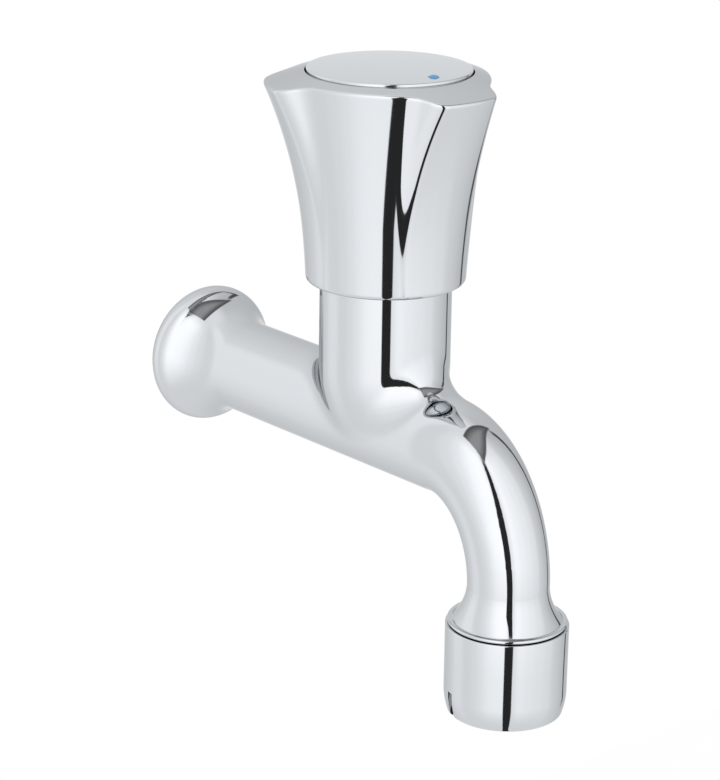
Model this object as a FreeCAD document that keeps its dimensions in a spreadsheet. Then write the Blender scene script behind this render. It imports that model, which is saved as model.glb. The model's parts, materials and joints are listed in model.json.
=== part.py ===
import FreeCAD, Part
import Sketcher
import math
import os
import re

# Wall-mounted cold water tap, in millimetres.
# The wall is the plane y = 0 and the tap stands out towards -Y, with Z up.
# The inlet axis is the line x = 0, z = 0.  The handle turns about a vertical axis.

Vector = FreeCAD.Vector

doc = FreeCAD.newDocument("wall_tap")
sheet = doc.addObject("Spreadsheet::Sheet", "Sizes")

SIZES = [
    # layout of the body
    ("handle_axis", 70.05),
    ("tube_radius", 11.0),
    ("neck_radius", 15.1),
    ("neck_top", 38.0),
    ("bowl_top", 14.0),
    ("bowl_cover", 1.5),
    ("bowl_tip_radius", 4.0),
    ("blend_radius", 13.1),
    # wall flange
    ("flange_bead", 4.9),
    ("flange_bead_ring", 11.9),
    ("flange_bead_turn", 130.78),
    ("flange_flare_end", 20.5),
    ("wall_recess_radius", 11.2),
    ("wall_recess_depth", 1.6),
    # spout
    ("neck_to_bend", 20.9),
    ("bend_reach", 22.05),
    ("bend_drop", 27.3),
    ("spout_mid_radius", 9.3),
    ("spout_end_radius", 9.25),
    ("flare_level", -28.3),
    ("flare_foot_radius", 9.35),
    ("flare_arc_radius", 12.0),
    ("flare_end_radius", 11.9),
    ("spout_lip_radius", 12.75),
    ("spout_lip_level", -36.0),
    ("lip_height", 0.8),
    ("lip_edge", 0.25),
    ("spout_thread_radius", 11.0),
    ("spout_thread_length", 8.0),
    # waterways
    ("socket_radius", 8.4),
    ("socket_depth", 12.0),
    ("inlet_bore", 6.0),
    ("inlet_bore_level", -2.5),
    ("inlet_bore_overrun", 4.6),
    ("seat_bore_floor", -5.0),
    ("seat_bore", 5.75),
    ("seat_lip_radius", 6.95),
    ("seat_level", 6.0),
    ("chamber_floor", 4.8),
    ("chamber_radius", 9.6),
    ("chamber_drop", 14.0),
    ("neck_thread_bore", 10.5),
    ("port_radius", 3.8),
    ("port_forward", 12.8),
    ("port_back", 14.0),
    ("port_length", 22.0),
    ("outlet_bore", 6.0),
    ("outlet_reach", 10.95),
    ("spout_bore", 6.0),
    ("nozzle_bore", 8.6),
    ("nozzle_cone_height", 4.0),
    # running and thread clearances
    ("thread_clearance", 0.05),
    ("running_clearance", 0.05),
    ("seat_clearance", 0.02),
    # inlet nipple, G1/2 towards the wall pipe
    ("nipple_small_length", 11.0),
    ("nipple_thread_radius", 10.48),
    ("nipple_length", 15.0),
    ("nipple_bore", 5.2),
    ("nipple_key_across", 12.0),
    ("nipple_key_depth", 8.0),
    ("nipple_chamfer", 0.8),
    ("seal_side_fit", 0.1),
    # headpart
    ("gasket_thickness", 1.0),
    ("skirt_radius", 9.0),
    ("skirt_play", 1.5),
    ("bonnet_thread_drop", 12.0),
    ("bonnet_flange_radius", 13.2),
    ("bonnet_flange_height", 2.0),
    ("bonnet_hex_across", 22.0),
    ("bonnet_hex_height", 6.0),
    ("bonnet_upper_radius", 8.0),
    ("bonnet_rise", 19.0),
    ("guide_across", 12.0),
    ("guide_play", 0.5),
    ("guide_shoulder", 1.0),
    ("collar_bore_radius", 6.0),
    ("thrust_drop", 2.0),
    ("spindle_bore", 5.0),
    # spindle
    ("spindle_thread_radius", 3.95),
    ("spindle_foot_play", 0.2),
    ("collar_radius", 5.75),
    ("collar_thickness", 2.5),
    ("thrust_space", 1.0),
    ("thrust_washer_thickness", 0.95),
    ("seal_side_gap", 0.02),
    ("groove_radius", 3.2),
    ("groove_width", 2.0),
    ("groove_rise", 6.0),
    ("groove_step", 4.5),
    ("clip_groove_radius", 4.1),
    ("clip_thickness", 0.8),
    ("clip_radius", 6.6),
    ("shaft_rise", 2.2),
    ("spline_radius", 4.0),
    ("spline_root_radius", 3.65),
    ("spline_half_width", 0.45),
    ("spline_count", 20),
    ("spline_length", 10.0),
    ("screw_hole_radius", 2.0),
    ("screw_hole_depth", 10.6),
    # valve plunger
    ("valve_lift", 5.0),
    ("plunger_flange_radius", 7.3),
    ("plunger_flange_thickness", 1.48),
    ("plunger_floor", 0.3),
    ("washer_thickness", 3.0),
    ("washer_radius", 7.2),
    ("spigot_radius", 2.0),
    ("nut_across", 7.0),
    ("nut_height", 2.4),
    # handle
    ("neck_cover", 4.1),
    ("handle_foot_radius", 17.36),
    ("handle_foot_round", 1.1),
    ("lobe_foot_radius", 18.3),
    ("lobe_arc_radius", 118.0),
    ("lobe_tip_radius", 27.45),
    ("lobe_tip_drop", 2.6),
    ("valley_foot_radius", 18.2),
    ("valley_waist_radius", 19.25),
    ("valley_waist_height", 16.0),
    ("valley_top_radius", 22.4),
    ("valley_top_drop", 1.1),
    ("valley_bulge", 1.2),
    ("rim_height", 47.6),
    ("rim_round", 0.7),
    ("rim_drop", 0.8),
    ("lobe_half_inner", 15.9),
    ("lobe_half_outer", 6.3),
    ("lobe_inner_reach", 10.0),
    ("lobe_outer_reach", 32.0),
    ("lobe_lean", 4.8),
    ("lobe_sketch_drop", 3.9),
    ("lobe_sketch_height", 50.1),
    ("lobe_turn", 0.0),
    ("cavity_radius", 15.8),
    ("cavity_height", 36.1),
    ("web_thickness", 4.0),
    ("boss_radius", 9.5),
    ("boss_depth", 10.0),
    ("insert_across", 13.0),
    ("insert_inset", 0.5),
    ("recess_radius", 16.5),
    ("cap_seat_depth", 3.1),
    ("cap_radius", 18.7),
    ("cap_gap", 0.15),
    ("cap_edge_rise", 0.25),
    ("cap_round", 0.9),
    ("cap_crown_rise", 1.6),
    ("cap_ring_outer", 16.4),
    ("cap_ring_inner", 15.0),
    ("cap_ring_depth", 2.9),
    ("dot_radius", 1.25),
    ("dot_reach", 14.5),
    ("dot_angle", 0.0),
    ("dot_depth", 0.9),
    ("dot_thickness", 0.56),
    ("screw_seat_depth", 2.0),
    ("screw_head_radius", 3.8),
    ("screw_head_height", 2.4),
    ("screw_shank_radius", 1.95),
    ("screw_length", 11.5),
    ("screw_key_across", 3.0),
    ("screw_key_depth", 1.4),
    ("screw_pass_radius", 2.3),
    ("counterbore_radius", 4.2),
    # aerator
    ("shell_radius", 13.9),
    ("shell_height", 21.0),
    ("shell_taper", 0.8),
    ("shell_taper_rise", 5.0),
    ("shell_edge", 0.35),
    ("cup_flange_thickness", 2.0),
    ("shell_lower_bore", 10.3),
    ("shell_edge_chamfer", 0.7),
    ("notch_width", 2.0),
    ("notch_height", 6.0),
    ("notch_depth", 1.2),
    ("notch_angle", -106.0),
    ("aerator_gasket_thickness", 2.0),
    ("aerator_gasket_inner", 8.2),
    ("cup_flange_radius", 10.95),
    ("cup_radius", 10.2),
    ("cup_inset", 1.0),
    ("cup_bore", 9.0),
    ("cup_ledge_drop", 1.0),
    ("cup_lower_bore", 8.2),
    ("cup_floor", 1.8),
    ("cup_mouth", 7.5),
    ("diffuser_thickness", 1.6),
    ("diffuser_jet_width", 0.9),
    ("diffuser_jet_length", 2.4),
    ("diffuser_jet_ring", 6.2),
    ("diffuser_jets", 12),
    ("screen_thickness", 0.5),
    ("screen_hole_across", 1.5),
    ("screen_inner_ring", 2.4),
    ("screen_outer_ring", 5.0),
    ("grid_thickness", 1.4),
    ("grid_across", 2.3),
    ("grid_pitch", 2.8),
]
# lengths and levels that follow from the sizes
DERIVED = {
    "bend_start": "handle_axis + neck_to_bend",
    "spout_axis": "bend_start + bend_reach",
    "outlet_start": "handle_axis + outlet_reach",
    "flange_meet_depth": "flange_bead * (1 - cos(flange_bead_turn))",
    "flange_meet_radius": "flange_bead_ring + flange_bead * sin(flange_bead_turn)",
    "flare_run": "flange_flare_end - flange_meet_depth",
    "flare_rise": "flange_meet_radius - tube_radius",
    "flange_flare_radius": "(flare_run^2 + flare_rise^2) / (2 * flare_rise)",
    "bowl_foot": "bowl_cover - tube_radius",
    "bowl_run": "neck_radius - bowl_tip_radius",
    "bowl_arc_radius": "(bowl_run^2 + (bowl_top - bowl_foot)^2) / (2 * bowl_run)",
    # headpart: hangs in the neck from its top
    "chamber_top": "neck_top - chamber_drop",
    "bonnet_thread_level": "neck_top - bonnet_thread_drop",
    "bonnet_seat": "neck_top + gasket_thickness",
    "bonnet_nut_level": "bonnet_seat + bonnet_flange_height",
    "bonnet_top": "neck_top + bonnet_rise",
    "thrust_level": "neck_top - thrust_drop",
    "collar_top": "thrust_level - thrust_space",
    "collar_level": "collar_top - collar_thickness",
    "guide_top": "collar_level - guide_shoulder",
    "groove_low": "thrust_level + groove_rise",
    "groove_high": "groove_low + groove_step",
    "clip_level": "bonnet_top + running_clearance",
    "shaft_top": "bonnet_top + shaft_rise",
    "spindle_top": "shaft_top + spline_length",
    "screw_hole_floor": "spindle_top - screw_hole_depth",
    # plunger: stands on the seat
    "washer_foot": "seat_level + seat_clearance",
    "plunger_foot": "washer_foot + washer_thickness",
    "plunger_flange_top": "plunger_foot + plunger_flange_thickness",
    "plunger_bore_floor": "plunger_flange_top + plunger_floor",
    "plunger_top": "guide_top - valve_lift - guide_play",
    "spindle_foot": "plunger_bore_floor + valve_lift + spindle_foot_play",
    "skirt_level": "plunger_flange_top + valve_lift + skirt_play",
    # handle: its foot covers the top of the neck
    "handle_foot": "neck_top - neck_cover",
    "foot_shoulder": "handle_foot + handle_foot_round",
    "rim_level": "handle_foot + rim_height",
    "valley_top_level": "rim_level - valley_top_drop",
    "lobe_tip_level": "rim_level - lobe_tip_drop",
    "lobe_sketch_low": "handle_foot - lobe_sketch_drop",
    "lobe_sketch_high": "handle_foot + lobe_sketch_height",
    "cavity_top": "handle_foot + cavity_height",
    "web_top": "cavity_top + web_thickness",
    "boss_level": "cavity_top - boss_depth",
    "insert_foot": "boss_level + insert_inset",
    "cap_seat_level": "rim_level - cap_seat_depth",
    "cap_edge_level": "rim_level + cap_edge_rise",
    "cap_crown_level": "rim_level + cap_crown_rise",
    "cap_ring_foot": "cap_seat_level - cap_ring_depth",
    "dot_floor": "cap_crown_level - dot_depth",
    "dot_top": "dot_floor + dot_thickness",
    "screw_seat": "web_top - screw_seat_depth",
    "screw_tip": "screw_seat - screw_length",
    # aerator: hangs under the lip of the spout
    "spout_foot_level": "spout_lip_level - spout_thread_length",
    "gasket_foot": "spout_foot_level - aerator_gasket_thickness",
    "shell_top": "spout_lip_level",
    "shell_foot": "shell_top - shell_height",
    "shell_ledge": "gasket_foot - cup_flange_thickness",
    "cup_foot": "shell_foot + cup_inset",
    "cup_ledge": "shell_ledge - cup_ledge_drop",
    "cup_lower_ledge": "cup_foot + cup_floor",
    "grid_top": "cup_lower_ledge + grid_thickness",
    "screen_top": "grid_top + screen_thickness",
}
NAMES = [name for name, number in SIZES]
for row, (name, number) in enumerate(SIZES, start=1):
    sheet.set("A%d" % row, name)
    sheet.set("B%d" % row, str(number))
    sheet.setAlias("B%d" % row, name)
doc.recompute()


def expanded(text):
    """The same expression in the sheet's own names only."""
    while True:
        longer = re.sub(r"[a-z_]+", in_full, text)
        if longer == text:
            return text
        text = longer


def in_full(word):
    name = word.group(0)
    return "(%s)" % DERIVED[name] if name in DERIVED else name


def in_sheet(word):
    name = word.group(0)
    return "Sizes." + name if name in NAMES else name


def linked(text):
    """Expression of the sheet's names, written for use by another object."""
    return re.sub(r"[a-z_]+", in_sheet, expanded(text))


def value(text):
    """Present number of an expression of the sheet's names."""
    return float(sheet.evalExpression(expanded(text)))


def bind(item, prop, text):
    item.setExpression(prop, linked(text))


def arc_between(start, end, radius, side):
    """Short arc from start to end with its centre on the named side of the way."""
    chord = end - start
    middle = (start + end) * 0.5
    left = Vector(-chord.y, chord.x, 0).normalize()
    rise = math.sqrt(max(radius ** 2 - (chord.Length / 2) ** 2, 0.0))
    centre = middle + left * (rise if side == "left" else -rise)
    first, last = (start, end) if side == "left" else (end, start)
    begin = math.atan2(first.y - centre.y, first.x - centre.x)
    finish = math.atan2(last.y - centre.y, last.x - centre.x)
    return Part.ArcOfCircle(Part.Circle(centre, Vector(0, 0, 1), radius), begin, finish)


def draw(sketch, points, arcs=None):
    """Closed outline whose corners and arc radii follow the sheet.

    points holds pairs of expressions; arcs maps the number of a side to its radius and side.
    """
    arcs = arcs or {}
    corners = [Vector(value(across), value(up), 0) for across, up in points]
    count = len(corners)
    first_end = []
    last_end = []
    for side in range(count):
        start = corners[side]
        end = corners[(side + 1) % count]
        if side in arcs:
            radius, centre_side = arcs[side]
            sketch.addGeometry(arc_between(start, end, value(radius), centre_side), False)
            first_end.append(1 if centre_side == "left" else 2)
            last_end.append(2 if centre_side == "left" else 1)
        else:
            sketch.addGeometry(Part.LineSegment(start, end), False)
            first_end.append(1)
            last_end.append(2)
    for side in range(count):
        follower = (side + 1) % count
        joint = ("Coincident", side, last_end[side], follower, first_end[follower])
        sketch.addConstraint(Sketcher.Constraint(*joint))
    for side in range(count):
        for kind, text, number in (
            ("DistanceX", points[side][0], corners[side].x),
            ("DistanceY", points[side][1], corners[side].y),
        ):
            index = sketch.addConstraint(Sketcher.Constraint(kind, side, first_end[side], number))
            bind(sketch, "Constraints[%d]" % index, text)
    for side, (radius, centre_side) in arcs.items():
        index = sketch.addConstraint(Sketcher.Constraint("Radius", side, value(radius)))
        bind(sketch, "Constraints[%d]" % index, radius)


def sketch_on(body, name, plane, lift=None):
    sketch = body.newObject("Sketcher::SketchObject", name)
    support = [item for item in body.Origin.OriginFeatures if item.Role == plane][0]
    sketch.AttachmentSupport = (support, [""])
    sketch.MapMode = "FlatFace"
    if lift:
        bind(sketch, "AttachmentOffset.Base.z", lift)
    return sketch


def new_body(name, y="0", z="0"):
    body = doc.addObject("PartDesign::Body", name)
    body.Label = name
    bind(body, "Placement.Base.y", y)
    bind(body, "Placement.Base.z", z)
    return body


def turned(name, points, arcs=None, y="0", about="Z"):
    """Body of revolution, about its own Z axis or about Y."""
    body = new_body(name, y)
    plane = "XZ_Plane" if about == "Z" else "YZ_Plane"
    sketch = sketch_on(body, name + "_profile", plane)
    draw(sketch, points, arcs)
    spin = body.newObject("PartDesign::Revolution", name + "_turning")
    spin.Profile = sketch
    spin.ReferenceAxis = (sketch, ["V_Axis" if about == "Z" else "H_Axis"])
    spin.Angle = 360
    doc.recompute()
    return body


def add_prism(body, name, points, low, high):
    """Straight prism between two levels, joined to the body."""
    sketch = sketch_on(body, name + "_outline", "XY_Plane", low)
    draw(sketch, points)
    pad = body.newObject("PartDesign::Pad", name)
    pad.Profile = sketch
    bind(pad, "Length", "(%s) - (%s)" % (high, low))
    doc.recompute()
    return pad


def cut_prism(body, name, points, low, high):
    """Straight prism between two levels, taken out of the body from its upper level down."""
    sketch = sketch_on(body, name + "_outline", "XY_Plane", high)
    draw(sketch, points)
    pocket = body.newObject("PartDesign::Pocket", name)
    pocket.Profile = sketch
    bind(pocket, "Length", "(%s) - (%s)" % (high, low))
    doc.recompute()
    return pocket


def cut_round(body, name, radius, across, up, low, high):
    """Round hole between two levels."""
    sketch = sketch_on(body, name + "_outline", "XY_Plane", high)
    sketch.addGeometry(Part.Circle(Vector(value(across), value(up), 0), Vector(0, 0, 1), value(radius)), False)
    for kind, text in (("DistanceX", across), ("DistanceY", up)):
        index = sketch.addConstraint(Sketcher.Constraint(kind, 0, 3, value(text)))
        bind(sketch, "Constraints[%d]" % index, text)
    index = sketch.addConstraint(Sketcher.Constraint("Radius", 0, value(radius)))
    bind(sketch, "Constraints[%d]" % index, radius)
    pocket = body.newObject("PartDesign::Pocket", name)
    pocket.Profile = sketch
    bind(pocket, "Length", "(%s) - (%s)" % (high, low))
    doc.recompute()
    return pocket


def around(body, name, feature, count):
    """Even repeats of a feature about the body's vertical axis."""
    pattern = body.newObject("PartDesign::PolarPattern", name)
    pattern.Originals = [feature]
    axis = [item for item in body.Origin.OriginFeatures if item.Role == "Z_Axis"][0]
    pattern.Axis = (axis, [""])
    pattern.Angle = 360
    bind(pattern, "Occurrences", count)
    body.Tip = pattern
    doc.recompute()
    return pattern


def hexagon(across, turn=0):
    """Six corners of a hexagon of a given width across its flats."""
    corners = []
    for step in range(6):
        angle = math.radians(60 * step + turn)
        reach = "(%s) / sqrt(3)" % across
        corners.append(("%s * %.6f" % (reach, math.cos(angle)), "%s * %.6f" % (reach, math.sin(angle))))
    return corners


def round_edges(base, name, radius, chosen):
    """Rounds the edges of a solid that the test picks out."""
    fillet = doc.addObject("Part::Fillet", name)
    fillet.Base = base
    size = value(radius)
    picked = [i for i, edge in enumerate(base.Shape.Edges, start=1) if chosen(edge)]
    fillet.Edges = [(index, size, size) for index in picked]
    doc.recompute()
    return fillet


def joined(kind, name, members):
    result = doc.addObject(kind, name)
    result.Shapes = members
    doc.recompute()
    return result


def cut_from(name, base, tool):
    result = doc.addObject("Part::Cut", name)
    result.Label = name
    result.Base = base
    result.Tool = tool
    doc.recompute()
    return result


# outer form of the body: tube with its wall flange
tube_form = turned(
    "tube_form",
    [
        ("0", "0"),
        ("0", "flange_bead_ring"),
        ("-flange_meet_depth", "flange_meet_radius"),
        ("-flange_flare_end", "tube_radius"),
        ("-bend_start", "tube_radius"),
        ("-bend_start", "0"),
    ],
    {1: ("flange_bead", "left"), 2: ("flange_flare_radius", "right")},
    about="Y",
)

# outer form of the body: neck that closes below like a bowl, inside the tube's underside
neck_form = turned(
    "neck_form",
    [
        ("0", "bowl_foot"),
        ("bowl_tip_radius", "bowl_foot"),
        ("neck_radius", "bowl_top"),
        ("neck_radius", "neck_top"),
        ("0", "neck_top"),
    ],
    {1: ("bowl_arc_radius", "left")},
    y="-handle_axis",
)
rough_body = joined("Part::MultiFuse", "rough_body", [tube_form, neck_form])


def meets_tube(edge):
    """True for the seam between the neck's bowl and the tube: it lies on the tube's skin."""
    radius = value("tube_radius")
    on_skin = all(abs(math.hypot(point.x, point.z) - radius) < 0.02 for point in edge.discretize(9))
    return on_skin and min(edge.BoundBox.XLength, edge.BoundBox.YLength) > radius / 2


blended_body = round_edges(rough_body, "blended_body", "blend_radius", meets_tube)


def bend_ring(name, radius, share):
    """Circle square to the spout's centre line; share runs from 0 at the tube to 1 at the foot."""
    ring = doc.addObject("Part::Circle", name)
    turn = "%s * 90" % share
    bind(ring, "Radius", radius)
    bind(ring, "Placement.Base.y", "-bend_start - (spout_axis - bend_start) * sin(%s)" % turn)
    bind(ring, "Placement.Base.z", "-bend_drop + bend_drop * cos(%s)" % turn)
    ring.Placement.Rotation = FreeCAD.Rotation(Vector(1, 0, 0), 90)
    drop = "bend_drop * sin(%s)" % turn
    run = "(spout_axis - bend_start) * cos(%s)" % turn
    bind(ring, "Placement.Rotation.Angle", "90 deg + atan2(%s; %s)" % (drop, run))
    return ring


def bend_loft(name, radii):
    """Smooth pipe round the spout's bend through rings of the given radii."""
    last = len(radii) - 1
    rings = [bend_ring("%s_ring_%d" % (name, i), text, "%.4f" % (i / last)) for i, text in enumerate(radii)]
    loft = doc.addObject("Part::Loft", name)
    loft.Sections = rings
    loft.Solid = True
    loft.Ruled = False
    doc.recompute()
    return loft


def tapered(share):
    """Outer radius of the spout along its bend."""
    a = "(1 - %.4f)" % share
    b = "%.4f" % share
    return "tube_radius * %s^2 + 2 * spout_mid_radius * %s * %s + spout_end_radius * %s^2" % (a, a, b, b)


BEND_STATIONS = 7
stations = [i / (BEND_STATIONS - 1) for i in range(BEND_STATIONS)]
spout_bend = bend_loft("spout_bend", [tapered(share) for share in stations])
# the waterway turns through a plain elbow inside the bend
spout_way = doc.addObject("Part::Torus", "spout_way")
bind(spout_way, "Radius1", "spout_axis - bend_start")
bind(spout_way, "Radius2", "spout_bore")
spout_way.Angle3 = 90
bind(spout_way, "Placement.Base.y", "-bend_start")
bind(spout_way, "Placement.Base.z", "bend_start - spout_axis")
upright = FreeCAD.Rotation(Vector(1, 0, 0), 90)
spout_way.Placement.Rotation = FreeCAD.Rotation(Vector(0, 0, 1), -90) * upright

# foot of the spout: flare, lip and thread for the aerator shell
spout_foot = turned(
    "spout_foot",
    [
        ("0", "-bend_drop"),
        ("spout_end_radius", "-bend_drop"),
        ("flare_foot_radius", "flare_level"),
        ("flare_end_radius", "spout_lip_level + lip_height"),
        ("spout_lip_radius - lip_edge", "spout_lip_level + lip_height * 0.85"),
        ("spout_lip_radius", "spout_lip_level + lip_height * 0.5"),
        ("spout_lip_radius", "spout_lip_level"),
        ("spout_thread_radius", "spout_lip_level"),
        ("spout_thread_radius", "spout_foot_level"),
        ("0", "spout_foot_level"),
    ],
    {2: ("flare_arc_radius", "left")},
    y="-spout_axis",
)
outer_body = joined("Part::MultiFuse", "outer_body", [blended_body, spout_bend, spout_foot])

# waterways and bores of the body
seat_way = turned(
    "seat_way",
    [
        ("0", "seat_bore_floor"),
        ("seat_bore", "seat_bore_floor"),
        ("seat_bore", "seat_level"),
        ("seat_lip_radius", "seat_level"),
        ("seat_lip_radius", "chamber_floor"),
        ("chamber_radius", "chamber_floor"),
        ("chamber_radius", "chamber_top"),
        ("neck_thread_bore", "chamber_top + 1"),
        ("neck_thread_bore", "neck_top + 1"),
        ("0", "neck_top + 1"),
    ],
    y="-handle_axis",
)
wall_socket = turned(
    "wall_socket",
    [
        ("-socket_depth", "0"),
        ("-socket_depth", "socket_radius"),
        ("-wall_recess_depth", "socket_radius"),
        ("-wall_recess_depth", "wall_recess_radius"),
        ("1", "wall_recess_radius"),
        ("1", "0"),
    ],
    about="Y",
)
inlet_way = doc.addObject("Part::Cylinder", "inlet_way")
bind(inlet_way, "Radius", "inlet_bore")
bind(inlet_way, "Height", "handle_axis + inlet_bore_overrun - socket_depth + 1")
bind(inlet_way, "Placement.Base.y", "-handle_axis - inlet_bore_overrun")
bind(inlet_way, "Placement.Base.z", "inlet_bore_level")
inlet_way.Placement.Rotation = FreeCAD.Rotation(Vector(1, 0, 0), -90)
port_way = doc.addObject("Part::Cylinder", "port_way")
bind(port_way, "Radius", "port_radius")
bind(port_way, "Height", "port_length")
bind(port_way, "Placement.Base.y", "-handle_axis - port_forward + port_back * cos(45)")
bind(port_way, "Placement.Base.z", "seat_level + port_back * cos(45)")
port_way.Placement.Rotation = FreeCAD.Rotation(Vector(1, 0, 0), 135)
outlet_way = doc.addObject("Part::Cylinder", "outlet_way")
bind(outlet_way, "Radius", "outlet_bore")
bind(outlet_way, "Height", "bend_start - outlet_start")
bind(outlet_way, "Placement.Base.y", "-outlet_start")
outlet_way.Placement.Rotation = FreeCAD.Rotation(Vector(1, 0, 0), 90)
nozzle_way = turned(
    "nozzle_way",
    [
        ("0", "bend_start - spout_axis"),
        ("spout_bore", "bend_start - spout_axis"),
        ("spout_bore", "spout_foot_level + nozzle_cone_height"),
        ("nozzle_bore", "spout_foot_level"),
        ("nozzle_bore", "spout_foot_level - 1"),
        ("0", "spout_foot_level - 1"),
    ],
    y="-spout_axis",
)
waterways = joined(
    "Part::MultiFuse",
    "waterways",
    [seat_way, inlet_way, port_way, outlet_way, spout_way, nozzle_way, wall_socket],
)
tap_body = cut_from("tap_body", outer_body, waterways)

# inlet: nipple screwed into the back of the body, with its seal
inlet_nipple = turned(
    "inlet_nipple",
    [
        ("-nipple_small_length", "nipple_bore"),
        ("-nipple_small_length", "socket_radius - thread_clearance - nipple_chamfer"),
        ("-nipple_small_length + nipple_chamfer", "socket_radius - thread_clearance"),
        ("0", "socket_radius - thread_clearance"),
        ("0", "nipple_thread_radius"),
        ("nipple_length - nipple_chamfer", "nipple_thread_radius"),
        ("nipple_length", "nipple_thread_radius - nipple_chamfer"),
        ("nipple_length", "nipple_bore"),
    ],
    about="Y",
)
key_sketch = sketch_on(inlet_nipple, "nipple_key_outline", "XZ_Plane", "-nipple_length")
draw(key_sketch, hexagon("nipple_key_across"))
key_pocket = inlet_nipple.newObject("PartDesign::Pocket", "nipple_key")
key_pocket.Profile = key_sketch
bind(key_pocket, "Length", "nipple_key_depth")
key_pocket.Reversed = True
doc.recompute()
nipple_seal = turned(
    "nipple_seal",
    [
        ("-wall_recess_depth", "socket_radius + thread_clearance"),
        ("-wall_recess_depth", "wall_recess_radius - seal_side_fit"),
        ("0", "wall_recess_radius - seal_side_fit"),
        ("0", "socket_radius + thread_clearance"),
    ],
    about="Y",
)

# headpart: bonnet screwed into the neck on a flat gasket
bonnet_gasket = turned(
    "bonnet_gasket",
    [
        ("neck_thread_bore + 0.1", "neck_top"),
        ("bonnet_flange_radius - 0.3", "neck_top"),
        ("bonnet_flange_radius - 0.3", "bonnet_seat"),
        ("neck_thread_bore + 0.1", "bonnet_seat"),
    ],
    y="-handle_axis",
)
bonnet = turned(
    "bonnet",
    [
        ("0", "skirt_level"),
        ("skirt_radius", "skirt_level"),
        ("skirt_radius", "bonnet_thread_level"),
        ("neck_thread_bore - thread_clearance", "bonnet_thread_level + 1"),
        ("neck_thread_bore - thread_clearance", "bonnet_seat"),
        ("bonnet_flange_radius", "bonnet_seat"),
        ("bonnet_flange_radius", "bonnet_nut_level"),
        ("bonnet_upper_radius", "bonnet_nut_level"),
        ("bonnet_upper_radius", "bonnet_top - 0.5"),
        ("bonnet_upper_radius - 0.5", "bonnet_top"),
        ("0", "bonnet_top"),
    ],
    y="-handle_axis",
)
add_prism(bonnet, "bonnet_nut", hexagon("bonnet_hex_across"), "bonnet_nut_level", "bonnet_nut_level + bonnet_hex_height")
cut_prism(bonnet, "bonnet_guide", hexagon("guide_across"), "skirt_level - 1", "guide_top")
cut_round(bonnet, "bonnet_collar_bore", "collar_bore_radius", "0", "0", "guide_top - 1", "thrust_level")
cut_round(bonnet, "bonnet_shaft_bore", "spindle_bore", "0", "0", "thrust_level - 1", "bonnet_top + 1")

# spindle: turns with the handle and screws the plunger up and down
SHAFT = "spindle_bore - running_clearance"
spindle = turned(
    "spindle",
    [
        ("0", "spindle_foot"),
        ("spindle_thread_radius - 0.5", "spindle_foot"),
        ("spindle_thread_radius", "spindle_foot + 0.5"),
        ("spindle_thread_radius", "collar_level"),
        ("collar_radius", "collar_level"),
        ("collar_radius", "collar_top"),
        (SHAFT, "collar_top"),
        (SHAFT, "groove_low"),
        ("groove_radius", "groove_low"),
        ("groove_radius", "groove_low + groove_width"),
        (SHAFT, "groove_low + groove_width"),
        (SHAFT, "groove_high"),
        ("groove_radius", "groove_high"),
        ("groove_radius", "groove_high + groove_width"),
        (SHAFT, "groove_high + groove_width"),
        (SHAFT, "clip_level"),
        ("clip_groove_radius", "clip_level"),
        ("clip_groove_radius", "clip_level + clip_thickness + running_clearance"),
        (SHAFT, "clip_level + clip_thickness + running_clearance"),
        (SHAFT, "shaft_top"),
        ("spline_root_radius", "shaft_top"),
        ("spline_root_radius", "spindle_top"),
        ("0", "spindle_top"),
    ],
    y="-handle_axis",
)
tooth = add_prism(
    spindle,
    "spindle_tooth",
    [
        ("spline_root_radius - 0.2", "-spline_half_width"),
        ("spline_radius", "-spline_half_width / 3"),
        ("spline_radius", "spline_half_width / 3"),
        ("spline_root_radius - 0.2", "spline_half_width"),
    ],
    "shaft_top",
    "spindle_top",
)
around(spindle, "spindle_teeth", tooth, "spline_count")
cut_round(spindle, "spindle_screw_hole", "screw_hole_radius", "0", "0", "screw_hole_floor", "spindle_top")


def ring_seal(name, groove_level):
    """Square-cut rubber ring in one of the spindle's grooves."""
    return turned(
        name,
        [
            ("groove_radius", groove_level + " + seal_side_gap"),
            ("spindle_bore - seal_side_gap", groove_level + " + seal_side_gap"),
            ("spindle_bore - seal_side_gap", groove_level + " + groove_width - seal_side_gap"),
            ("groove_radius", groove_level + " + groove_width - seal_side_gap"),
        ],
        y="-handle_axis",
    )


spindle_seal_low = ring_seal("spindle_seal_low", "groove_low")
spindle_seal_high = ring_seal("spindle_seal_high", "groove_high")
spindle_clip = turned(
    "spindle_clip",
    [
        ("clip_groove_radius + 0.02", "clip_level"),
        ("clip_radius", "clip_level"),
        ("clip_radius", "clip_level + clip_thickness"),
        ("clip_groove_radius + 0.02", "clip_level + clip_thickness"),
    ],
    y="-handle_axis",
)
cut_prism(
    spindle_clip,
    "clip_mouth",
    [
        ("0", "-clip_groove_radius * 0.8"),
        ("clip_radius + 1", "-clip_groove_radius * 0.8"),
        ("clip_radius + 1", "clip_groove_radius * 0.8"),
        ("0", "clip_groove_radius * 0.8"),
    ],
    "clip_level - 1",
    "clip_level + clip_thickness + 1",
)
thrust_washer = turned(
    "thrust_washer",
    [
        ("spindle_bore + 0.02", "collar_top"),
        ("collar_radius + 0.1", "collar_top"),
        ("collar_radius + 0.1", "collar_top + thrust_washer_thickness"),
        ("spindle_bore + 0.02", "collar_top + thrust_washer_thickness"),
    ],
    y="-handle_axis",
)

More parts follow.
